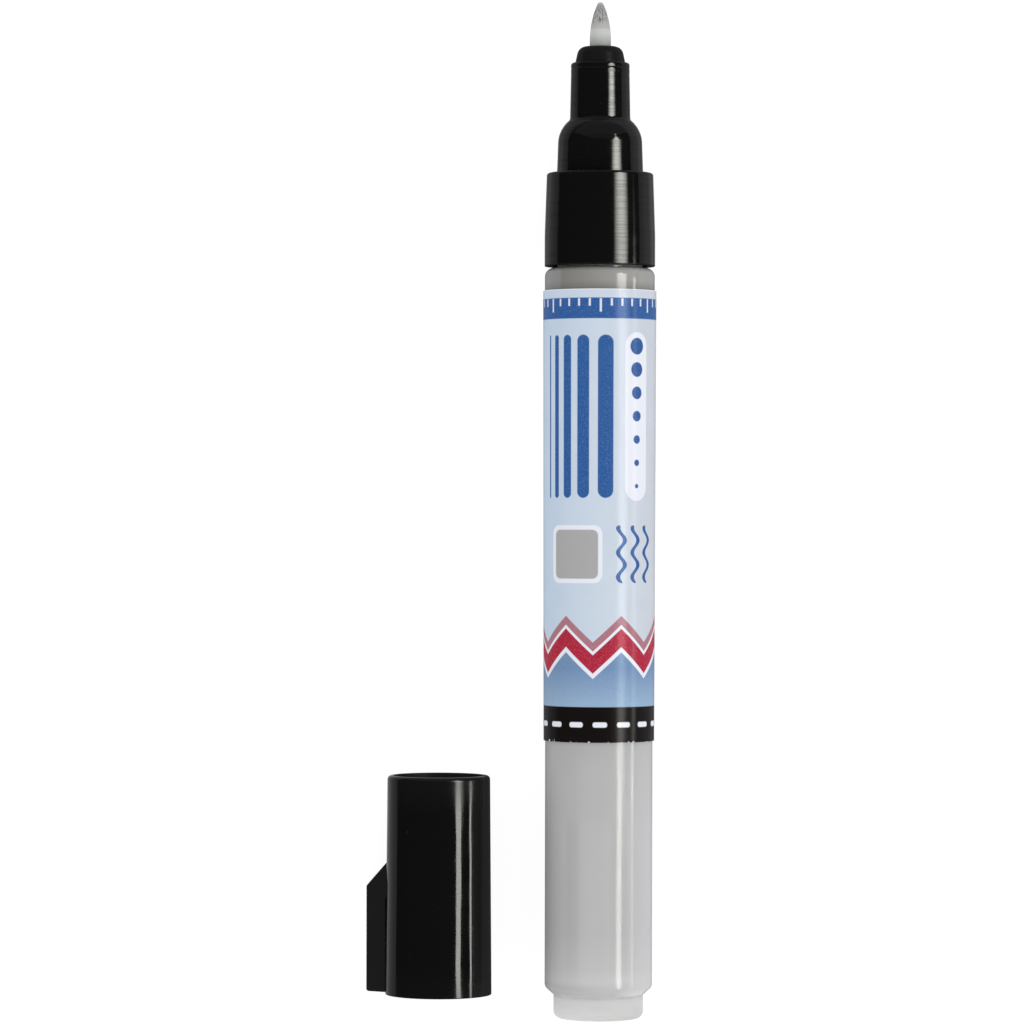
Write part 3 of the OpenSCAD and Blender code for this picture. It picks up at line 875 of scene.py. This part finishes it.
def print_swatch(g, tone, across, along):
    """A rounded square in the colour of the paint, with a white border, and three wavy lines beside it."""
    x, y = across - SWATCH_ASIDE, along - SWATCH_AT
    tone = g.blend(g.patch(x, y, BORDER_HALF, BORDER_HALF, BORDER_CORNER), tone, PAPER_WHITE)
    tone = g.blend(g.patch(x, y, SWATCH_HALF, SWATCH_HALF, SWATCH_CORNER), tone, PAINT_GREY)
    for aside in WAVES_ASIDE:
        line = across - aside - (along * WAVE_TURN).sine() * WAVE_SWING
        tone = g.blend(g.patch(line, y, WAVE_HALF_W, BORDER_HALF, WAVE_END), tone, DEEP_BLUE)
    return tone


def print_strokes(g, tone, across, along):
    """Five strokes from fine to broad, and a white field with dots that grow."""
    y = along - STROKES_AT
    for k, aside in enumerate(STROKES_ASIDE):
        half = STROKE_HALF_W + STROKE_GROWTH * k
        tone = g.blend(g.patch(across - aside, y, half, STROKE_HALF_LEN, half), tone, DEEP_BLUE)
    x = across - DOTS_ASIDE
    tone = g.blend(g.patch(x, y, DOTS_HALF_W, DOTS_HALF_LEN, DOTS_HALF_W), tone, PAPER_WHITE)
    for k in range(DOTS):
        size = DOT_R + DOT_GROWTH * k
        tone = g.blend(g.patch(x, along - (DOTS_START + DOT_STEP * k), size, size, size), tone, DEEP_BLUE)
    return tone


def print_scale(g, tone, across, along):
    """A blue ring with white ticks, every fifth one longer."""
    tone = g.blend(along.band(*SCALE_AT), tone, DEEP_BLUE)
    beside = across.wave(TICK_HALF_STEP)
    tick = g.patch(beside, along - TICK_AT, TICK_HALF_W, TICK_HALF_LEN, TICK_CORNER)
    beside = across.wave(TICK_HALF_STEP * LONG_TICK_EVERY)
    long_tick = g.patch(beside, along - LONG_TICK_AT, TICK_HALF_W, LONG_TICK_HALF_LEN, TICK_CORNER)
    return g.blend(tick.most(long_tick), tone, PAPER_WHITE)


def print_panel(g, tone, across, along):
    """On the back, a white panel with thin rules to write on."""
    x, y = across - PANEL_ASIDE, along - PANEL_AT
    tone = g.blend(g.patch(x, y, PANEL_HALF_W, PANEL_HALF_LEN, PANEL_CORNER), tone, PAPER_WHITE)
    for k in range(RULES):
        beside = x + (k - RULES // 2) * RULE_STEP
        tone = g.blend(g.patch(beside, y, RULE_HALF_W, RULE_HALF_LEN, RULE_CORNER), tone, MID_BLUE)
    return tone


def print_band(g, tone, across, along):
    """A black band at the rear edge, with white dashes, chipped along its edge."""
    tone = g.blend(along.between(*BAND_END), tone, PRINT_BLACK)
    dash = g.patch(across.wave(DASH_HALF_STEP), along - DASH_AT, DASH_HALF_LEN, DASH_HALF_W, DASH_CORNER)
    tone = g.blend(dash, tone, PAPER_WHITE)
    chips = g.noise(size=0.6, detail=3.0) - along * CHIP_FALL
    return g.blend(chips.between(*CHIP_NOISE), tone, PAPER_WHITE)


def label_film():
    """Satin film, printed on its outer side, with white edges."""
    g = Graph("label_film", specular_ior_level=0.06)
    u, v = g.flat()
    across = (u * (1 / PRINT_SHARE) - label_top) * label_width
    along = v * label_len
    tone = print_wash(g, across)
    for motif in (print_zigzag, print_swatch, print_strokes, print_scale, print_panel):
        tone = motif(g, tone, across, along)
    grain = g.noise(size=0.16, detail=2.0)
    tone = g.blend(grain.between(*GRAIN_NOISE) * GRAIN_SHARE, tone, PAPER_WHITE)
    tone = print_band(g, tone, across, along)
    edge = (along - label_len).between(*WHITE_EDGE)
    bare = u.between(PRINT_SHARE, PRINT_SHARE + BARE_SOFT)
    g.colour(g.blend(edge.most(bare), tone, PAPER_WHITE))
    g.rough(grain.spread(*LABEL_ROUGH))
    g.bump(grain, LABEL_RELIEF)
    return g.material


# The pieces inside the pen and its cap

PLAIN_SPREAD = 0.2
PLAIN_RELIEF = 0.003


def plain(name, low, high, roughness, metallic=0.0, grain=0.4):
    """The material of a hidden piece: two close shades in a fine grain."""
    g = Graph(name, metallic=metallic)
    speck = g.noise(grain, detail=3.0)
    g.colour(g.blend(speck.spread(), low, high))
    g.rough(speck.spread(roughness * (1 - PLAIN_SPREAD), roughness * (1 + PLAIN_SPREAD)))
    g.bump(speck, PLAIN_RELIEF)
    return g.material


turned_black = black_plastic("black_turned", rings=0.05, sink=0.01, polish=0.08, dull=collar_back_shade)
drawn_black = black_plastic("black_drawn", rings=0.01, sink=0.08, polish=0.06, dull=cap_dull_and_shade)
satin = satin_plastic()
milky = barrel_plastic()
natural = plug_plastic()
fibre = nib_fibre()
film = label_film()
white = plain("white_plastic", low=(0.70, 0.70, 0.67), high=(0.78, 0.78, 0.75), roughness=0.4)
rubber = plain("seal_rubber", low=grey(0.02), high=grey(0.035), roughness=0.7)
wire = plain("spring_steel", low=(0.45, 0.45, 0.46), high=(0.6, 0.6, 0.61), roughness=0.3, metallic=1.0,
             grain=0.1)
steel = plain("ball_steel", low=(0.62, 0.62, 0.63), high=(0.7, 0.7, 0.71), roughness=0.12, metallic=1.0,
              grain=0.2)


# The pen's pieces, from the butt to the tip


def bead(radius):
    """Corners of the bead that holds the plug in the barrel, on a radius, from the rear to the front."""
    middle = (barrel_y0 + plug_y1) / 2
    low, high = middle - PLUG_BEAD_W / 2, middle + PLUG_BEAD_W / 2
    crest = radius + PLUG_BEAD_H
    return [(low, radius), (low + PLUG_BEAD_H, crest), (high - PLUG_BEAD_H, crest), (high, radius)]


def tail_plug():
    inner = stub_r - PLUG_WALL
    outline = rounded([
        (0, 0), (0, stub_r, STUB_EDGE), *bead(stub_r), (plug_y1, stub_r, PLUG_EDGE), (plug_y1, inner),
        (PLUG_WALL, inner, PLUG_CORNER), (PLUG_WALL, 0)])
    return finish_piece(lathe("tail_plug_moulding", outline), natural, "pen", "tail_plug")


def barrel():
    rear = barrel_y0 + BARREL_SHORT
    foot = shoulder_y1 - BARREL_WALL
    neck_bore_r = neck_r - NECK_WALL
    ribs = []
    for k in range(NECK_RIBS):
        low = collar_y0 + (neck_y1 - collar_y0) * (k + 0.5) / NECK_RIBS
        high = low + NECK_RIB_W
        ribs += [(low, neck_r), (low, flange_r, FINE_EDGE), (high, flange_r, FINE_EDGE), (high, neck_r)]
    outline = rounded([
        (rear, bore_r), (rear + BARREL_SLOPE, barrel_r, BARREL_CORNER), (label_y0, barrel_r),
        (shoulder_y1, front_r, SHOULDER_ROUND), (shoulder_y1, neck_r, NECK_CORNER), *ribs,
        (neck_y1, neck_r, FINE_EDGE), (neck_y1, neck_bore_r), (foot, neck_bore_r),
        (foot - bore_r + neck_bore_r, bore_r), *reversed(bead(bore_r))])
    return finish_piece(lathe("barrel_tube", outline), milky, "pen", "barrel")


def label():
    """A film bent round the barrel, with its seam on the right below, and a flat map of it for the print."""
    bm = bmesh.new()
    uv = bm.loops.layers.uv.new("OFBake")
    sheets = []
    for sunk in (0, LABEL_THICK):
        sheet = []
        for j in range(LABEL_ROWS + 1):
            y = label_y0 + label_len * j / LABEL_ROWS
            r = label_r - BARREL_DRAFT * (1 - j / LABEL_ROWS) - sunk
            line = []
            for k in range(AROUND + 1):
                a = math.radians(label_first + (label_last - label_first) * k / AROUND)
                line.append(bm.verts.new((r * MM * math.sin(a), y * MM, r * MM * math.cos(a))))
            sheet.append(line)
        sheets.append(sheet)

    def face(corners, u_low, u_high):
        made = bm.faces.new([sheets[s][j][k] for s, j, k in corners])
        for loop, (_, j, k) in zip(made.loops, corners):
            loop[uv].uv = (u_low + (u_high - u_low) * k / AROUND, j / LABEL_ROWS)

    for j in range(LABEL_ROWS):
        for k in range(AROUND):
            face([(0, j, k), (0, j, k + 1), (0, j + 1, k + 1), (0, j + 1, k)], 0, PRINT_SHARE)
            face([(1, j, k), (1, j, k + 1), (1, j + 1, k + 1), (1, j + 1, k)], BARE_SHARE, 1)
        for k in (0, AROUND):
            face([(0, j, k), (0, j + 1, k), (1, j + 1, k), (1, j, k)], BARE_SHARE, 1)
    for k in range(AROUND):
        for j in (0, LABEL_ROWS):
            face([(0, j, k), (0, j, k + 1), (1, j, k + 1), (1, j, k)], BARE_SHARE, 1)
    return finish_piece(make("label_wrap", bm), film, "pen", "label")


def collar():
    bore = collar_r - COLLAR_FLARE - COLLAR_WALL
    lip_r = DOME_BASE_R + FIT
    lip_y = collar_y1 - COLLAR_LIP
    outline = rounded([
        (collar_y0, bore), (collar_y0, collar_r, FINE_EDGE),
        (collar_y1 - COLLAR_FLARE_LEN, collar_r, COLLAR_FLARE_ROUND),
        (collar_y1, collar_r - COLLAR_FLARE, COLLAR_EDGE), (collar_y1, lip_r, COLLAR_LIP_EDGE),
        (lip_y, lip_r), (lip_y, bore)])
    return finish_piece(lathe("collar_ring", outline), turned_black, "pen", "collar")


def snout_rings(groove_y):
    """The two faintly crowned rings on either side of the snout's groove."""
    rings = []
    for side, width in ((-1, REAR_RING_W), (1, FRONT_RING_W)):
        middle = groove_y + side * (width + GROOVE_W) / 2
        half = math.degrees(math.asin(width / 2 / RING_ROUND))
        rings.append(arc(middle, snout_front_r - RING_ROUND, RING_ROUND, -half, half, RING_STEPS))
    return rings


def front_section():
    dome_y = collar_y1 + DOME_BASE_H
    dome_axis = DOME_BASE_R - DOME_DRAFT - DOME_ROUND
    foot = math.acos((SNOUT_R + SNOUT_FOOT - dome_axis) / (DOME_ROUND + SNOUT_FOOT))
    foot_y = dome_y + (DOME_ROUND + SNOUT_FOOT) * math.sin(foot)
    foot = math.degrees(foot)
    hollow = DOME_BASE_R - FRONT_WALL
    flange_y1 = collar_y1 - COLLAR_LIP
    groove_y = snout_y1 - GROOVE_BACK
    rear_ring, front_ring = snout_rings(groove_y)
    outline = rounded([
        (flange_y0, hollow), (flange_y0, flange_r, FINE_EDGE), (flange_y1, flange_r, FINE_EDGE),
        (flange_y1, DOME_BASE_R), (collar_y1, DOME_BASE_R),
        *arc(dome_y, dome_axis, DOME_ROUND, 0, foot, DOME_STEPS),
        *arc(foot_y, SNOUT_R + SNOUT_FOOT, SNOUT_FOOT, 180 + foot, 180, RING_STEPS),
        *rear_ring, (groove_y, snout_front_r - GROOVE_DEEP), *front_ring,
        (snout_y1, snout_front_r - SNOUT_EDGE_DROP, SNOUT_EDGE), (snout_y1, snout_bore_r),
        (dome_y + hollow - snout_bore_r, snout_bore_r), (dome_y, hollow)])
    return finish_piece(lathe("front_moulding", outline), turned_black, "pen", "front_section")


def nib_holder():
    tube_r = snout_bore_r - FIT
    tip_y = nose_y1 - NOSE_SHORT
    guide_y = nose_y1 - GUIDE_LEN
    outline = rounded([
        (holder_y0, HOLDER_BORE_R), (holder_y0, tube_r, FINE_EDGE), (snout_y1, tube_r),
        (snout_y1, nose_r + NOSE_SPREAD, NOSE_FOOT_EDGE), (tip_y, nose_r - NOSE_TAPER, NOSE_EDGE),
        (tip_y, GUIDE_R, FINE_EDGE), (guide_y, GUIDE_R), (guide_y - HOLDER_BORE_R + GUIDE_R, HOLDER_BORE_R)])
    return finish_piece(lathe("nose_moulding", outline), satin, "pen", "nib_holder")


def nib():
    run = NIB_POINT - NIB_TIP_R
    radius = (nib_r ** 2 - NIB_TIP_R ** 2 + run ** 2) / (2 * (nib_r - NIB_TIP_R))
    sweep = math.degrees(math.asin(run / (radius - NIB_TIP_R)))
    outline = [
        (nib_y0, 0), (nib_y0, nib_r - FIT), (nib_y0 + FIT, nib_r),
        *arc(nib_y1 - NIB_POINT, nib_r - radius, radius, 0, sweep, NIB_STEPS),
        *arc(nib_y1 - NIB_TIP_R, 0, NIB_TIP_R, sweep, 90)[1:-1], (nib_y1, 0)]
    return finish_piece(lathe("nib_rod", outline), fibre, "pump", "nib")


def valve_spring():
    """One unbroken round wire."""
    mean_r = spring_r - SPRING_WIRE / 2
    rise = spring_y1 - spring_y0 - SPRING_WIRE
    steps = TURN_STEPS * SPRING_TURNS
    bm = bmesh.new()
    rings = []
    for i in range(steps + 1):
        turn = 2 * math.pi * SPRING_TURNS * i / steps
        ring = []
        for j in range(WIRE_SIDES):
            a = 2 * math.pi * j / WIRE_SIDES
            r = mean_r + SPRING_WIRE / 2 * math.cos(a)
            y = spring_y0 + SPRING_WIRE / 2 * (1 + math.sin(a)) + rise * i / steps
            ring.append(bm.verts.new((r * MM * math.cos(turn), y * MM, -r * MM * math.sin(turn))))
        rings.append(ring)
    for one, two in zip(rings, rings[1:]):
        for j in range(WIRE_SIDES):
            after = (j + 1) % WIRE_SIDES
            bm.faces.new([one[j], one[after], two[after], two[j]])
    for end in (rings[0], rings[-1]):
        bm.faces.new(end)
    piece = finish_piece(make("valve_coil", bm), wire, "pen", "valve_spring")
    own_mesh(piece)
    return piece


# The cap, made with its mouth at the origin, its closed end along +Y and its clip along +X


def side_view(station, radius, depth):
    """Lays an outline of (station, radius) points in the plane of the clip's side."""
    return radius, station, depth


def end_view(radius, across, depth):
    """Lays an outline of (radius, across) points square to the cap's axis."""
    return radius, depth, across


def clip():
    """The clip's side view, carried across its width, cut to its rounded cross-section and hollowed."""
    clip_r = mouth_r + CLIP_STAND
    arm_r = mouth_r + CLIP_SLOT
    root_r = mouth_r - CLIP_SUNK
    slope_y = CLIP_LEN - CLIP_STAND
    slot_y = slope_y - CLIP_ROOT
    bead_y = CLIP_SHORT + 2 * CLIP_BEAD
    side = rounded([
        (CLIP_SHORT, arm_r), (CLIP_SHORT, clip_r, CLIP_CORNER), (slope_y, clip_r, CLIP_CORNER),
        (CLIP_LEN + mouth_r - root_r, root_r), (slot_y, root_r), (slot_y, arm_r, CLIP_SLOT_EDGE),
        *arc(bead_y, arm_r, CLIP_BEAD, 90, 270)])
    half = CLIP_W / 2
    section = rounded([(0, -half), (clip_r, -half, CLIP_EDGE), (clip_r, half, CLIP_EDGE), (0, half)])
    blade = prism("clip", side, -half, half, side_view)
    combine(blade, "INTERSECT", prism("section", section, 0, cap_len, end_view))
    low, high = CLIP_SHORT + CLIP_END, clip_r - CLIP_WALL
    hollow = [(low, mouth_r), (slot_y, mouth_r), (slot_y, high), (low, high)]
    half -= CLIP_WALL
    return combine(blade, "DIFFERENCE", prism("hollow", hollow, -half, half, side_view))


def rib(k):
    """One of the ribs inside the cap that hold its liner."""
    outer = crown_r - CAP_WALL / 2
    half = CAP_RIB_W / 2
    outline = [(liner_r + FIT, -half), (outer, -half), (outer, half), (liner_r + FIT, half)]
    piece = prism("rib", outline, liner_y0, hollow_y - CROWN_THICK / 2, end_view)
    piece.data.transform(Matrix.Rotation(2 * math.pi * (k + 0.5) / CAP_RIBS, 4, "Y"))
    return piece


def cap_shell():
    """The shell with its clip, rolled over until it rests on the table on its side and the clip's edge."""
    bore = mouth_r - CAP_WALL
    roof_y = hollow_y - CROWN_THICK
    outline = rounded([
        (0, bore + CAP_LEAD), (0, mouth_r, CAP_MOUTH_EDGE), (cap_len, crown_r, CAP_EDGE),
        (cap_len, hollow_r, CROWN_RIM_EDGE), (hollow_y, hollow_r, CROWN_CORNER), (hollow_y, 0),
        (roof_y, 0), (roof_y, bore - CAP_DRAFT, ROOF_CORNER), (CAP_BORE_LEN, bore), (CAP_LEAD, bore)])
    shell = lathe("cap_moulding", outline)
    combine(shell, "UNION", clip(), *[rib(k) for k in range(CAP_RIBS)])
    smooth(shell.data)
    edge_r = mouth_r + CLIP_STAND - CLIP_EDGE
    edge_z = CLIP_W / 2 - CLIP_EDGE
    lean = math.asin((mouth_r - CLIP_EDGE) / math.hypot(edge_r, edge_z)) - math.atan2(edge_z, edge_r)
    shell.data.transform(Matrix.Rotation(math.pi - lean, 4, "Y"))
    shell.location = cap_at
    bpy.context.view_layer.update()
    return finish_piece(shell, drawn_black, "cap", "cap_shell")


tail_plug()
barrel()
label()
collar()
front_section()
nib_holder()
nib()
valve_spring()
cap_shell()

kept_nodes = {"neck_seal": rubber, "valve_cage": white, "valve_seat": rubber, "valve_stem": white,
              "mixing_ball": steel, "cap_liner": white}
for node, material in kept_nodes.items():
    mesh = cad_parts[node].data
    mesh.materials.clear()
    mesh.materials.append(material)


# Table, light and camera, in metres and radians

CAMERA_X = -0.0119
CAMERA_Y = 0.06887
CAMERA_HEIGHT = 0.64
CAMERA_ROLL = 0.00225
CAMERA_FIELD = 0.13957
SENSOR_MM = 36
TABLE_SIZE = 3.0
TABLE_SHADES = (grey(0.15), grey(0.16))
TABLE_GLOW = 0.91
WHITE = (1, 1, 1, 1)
ROOM_LIGHT = 0.97

# Lamps, with radiance in the render's own measure. A soft box stands between two angles from the vertical, in
# degrees, and each of its ends has a station along the pen and a distance from the pen's axis
BOX_TINT = (1.0, 1.0, 0.93)
STRIP_ANGLES = (73, 77.5)
STRIP_RADIANCE = 21
STRIP_BACK = (-0.25, 0.75)
STRIP_FRONT = (0.1215, 0.445)
THIN_STRIP_ANGLES = (73, 76.5)
THIN_STRIP_RADIANCE = 1.8
THIN_STRIP_FRONT = (0.165, 0.445)
FILL_ANGLES = (15, 50)
FILL_RADIANCE = 1.0
FILL_BACK = (-0.45, 1.0)
FILL_FRONT = (0.55, 1.0)
WALL_AT = 0.9
WALL_WIDTH = 2.6
BOW_RISE = 4

# Angles, radiance, back end and front end
REAR_BOXES = (
    (38, 48, 24, (-0.25, 0.75), (-0.02, 0.563)),
    (38, 50, 24, (-0.02, 0.563), (0.012, 0.536)),
    (39, 56, 23, (0.012, 0.536), (0.118, 0.45)),
    (35, 55, 26, (0.118, 0.45), (0.124, 0.47)))

# Half the angle about a middle, radiance, back and front station, at one distance
FRONT_BOX_AT = 44.3
FRONT_BOX_AWAY = 0.47
FRONT_BOXES = (
    (16.0, 33, 0.124, 0.18),
    (13.5, 42, 0.18, 0.188),
    (11.5, 43, 0.188, 0.208),
    (9.3, 45, 0.208, 0.232),
    (7.0, 45, 0.232, 0.256),
    (4.5, 38, 0.256, 0.28),
    (2.5, 16, 0.28, 0.4))

# Radiance, and the two heights or the two places across the pen between which a strip lies
WALLS = ((0.42, 0, 1.25), (0.25, 1.25, 3.2))
GROUNDS = ((0.5, -0.07, -0.014), (0.28, -0.014, 0.014), (0.55, 0.014, 0.03), (0.75, 0.03, TABLE_SIZE))


def table():
    bm = bmesh.new()
    bmesh.ops.create_grid(bm, x_segments=1, y_segments=1, size=TABLE_SIZE)
    floor = make("table", bm)
    floor.location = (0, 0, cad_box[0].z)
    g = Graph("table_white", roughness=0.6, specular_ior_level=0.0, emission_color=WHITE,
              emission_strength=TABLE_GLOW)
    g.colour(g.blend(g.noise(size=200.0, detail=1.0), *TABLE_SHADES))
    floor.data.materials.append(g.material)
    floor.visible_glossy = False


def lamp(name, radiance, centre, across, along, width, length):
    """A rectangle of light about centre, with its width and length along two directions."""
    data = bpy.data.lights.new(name, "AREA")
    data.shape = "RECTANGLE"
    data.size = width
    data.size_y = length
    data.energy = radiance * math.pi * width * length
    box = bpy.data.objects.new(name, data)
    box.location = centre
    box.rotation_euler = Matrix((across, along, across.cross(along))).transposed().to_euler()
    box.visible_camera = False
    bpy.context.scene.collection.objects.link(box)
    return box


def panel(name, low, high, radiance, front, back):
    """A soft box beside the pen, between two angles from the vertical, with its front and back ends."""
    middle = math.radians((low + high) / 2)
    away = (front[1] + back[1]) / 2
    out = Vector((math.sin(middle), 0, math.cos(middle)))
    across = Vector((math.cos(middle), 0, -math.sin(middle)))
    along = (Vector((0, front[0] - back[0], 0)) + out * (front[1] - back[1])).normalized()
    centre = out * away + Vector((0, (front[0] + back[0]) / 2, 0))
    width = 2 * away * math.tan(math.radians(high - low) / 2)
    return lamp(name, radiance, centre, across, along, width, math.dist(front, back))


def fade(box):
    """Makes a lamp brightest along its middle and dark at its two long sides."""
    tree = Tree(box.data)
    across = tree.split(tree.nodes.new("ShaderNodeNewGeometry").outputs["Parametric"])[0]
    bow = (across - across * across) * BOW_RISE
    tree.put(bow, tree.nodes["Emission"].inputs["Strength"])
    return box


def wall(radiance, low, high):
    """A strip of wall beyond the nib, between two heights."""
    centre = (0, WALL_AT, (low + high) / 2)
    return lamp("wall", radiance, centre, Vector((-1, 0, 0)), Vector((0, 0, 1)), WALL_WIDTH, high - low)


def ground(radiance, low, high):
    """A strip of bright table, between two places across the pen."""
    centre = ((low + high) / 2, 0, cad_box[0].z)
    return lamp("ground", radiance, centre, Vector((-1, 0, 0)), Vector((0, 1, 0)), high - low, 2 * TABLE_SIZE)


def soft_boxes():
    """Two thin strips of light low on the pen's right, and a row of boxes above them."""
    boxes = [panel("strip", *STRIP_ANGLES, STRIP_RADIANCE, STRIP_FRONT, STRIP_BACK),
             panel("front_strip", *THIN_STRIP_ANGLES, THIN_STRIP_RADIANCE, THIN_STRIP_FRONT, STRIP_FRONT)]
    for low, high, radiance, back, front in REAR_BOXES:
        boxes.append(panel("box", low, high, radiance, front, back))
    for half, radiance, back, front in FRONT_BOXES:
        low, high = FRONT_BOX_AT - half, FRONT_BOX_AT + half
        ends = (front, FRONT_BOX_AWAY), (back, FRONT_BOX_AWAY)
        boxes.append(fade(panel("front_box", low, high, radiance, *ends)))
    for box in boxes:
        box.data.color = BOX_TINT
    return boxes


def studio():
    """Boxes, walls and a bright table that only the gloss mirrors, a broad soft fill from the right, and a
    white room."""
    mirrored = soft_boxes()
    mirrored += [wall(*strip) for strip in WALLS]
    mirrored += [ground(*strip) for strip in GROUNDS]
    for light in mirrored:
        light.visible_diffuse = False
    fill = panel("fill", *FILL_ANGLES, FILL_RADIANCE, FILL_FRONT, FILL_BACK)
    fill.visible_glossy = False
    world = bpy.data.worlds.new("room")
    bpy.context.scene.world = world
    world.use_nodes = True
    background = world.node_tree.nodes["Background"]
    background.inputs["Color"].default_value = WHITE
    background.inputs["Strength"].default_value = ROOM_LIGHT
    world.cycles_visibility.glossy = False
    bpy.context.scene.view_settings.view_transform = "Standard"


def camera():
    """Straight above, with a picture that is CAMERA_FIELD wide at the height of the pen's axis."""
    eye = bpy.data.objects.new("camera", bpy.data.cameras.new("camera"))
    eye.location = (CAMERA_X, CAMERA_Y, CAMERA_HEIGHT)
    eye.rotation_euler.z = CAMERA_ROLL
    eye.data.sensor_width = SENSOR_MM
    eye.data.lens = SENSOR_MM * CAMERA_HEIGHT / CAMERA_FIELD
    bpy.context.scene.collection.objects.link(eye)
    bpy.context.scene.camera = eye


table()
studio()
camera()
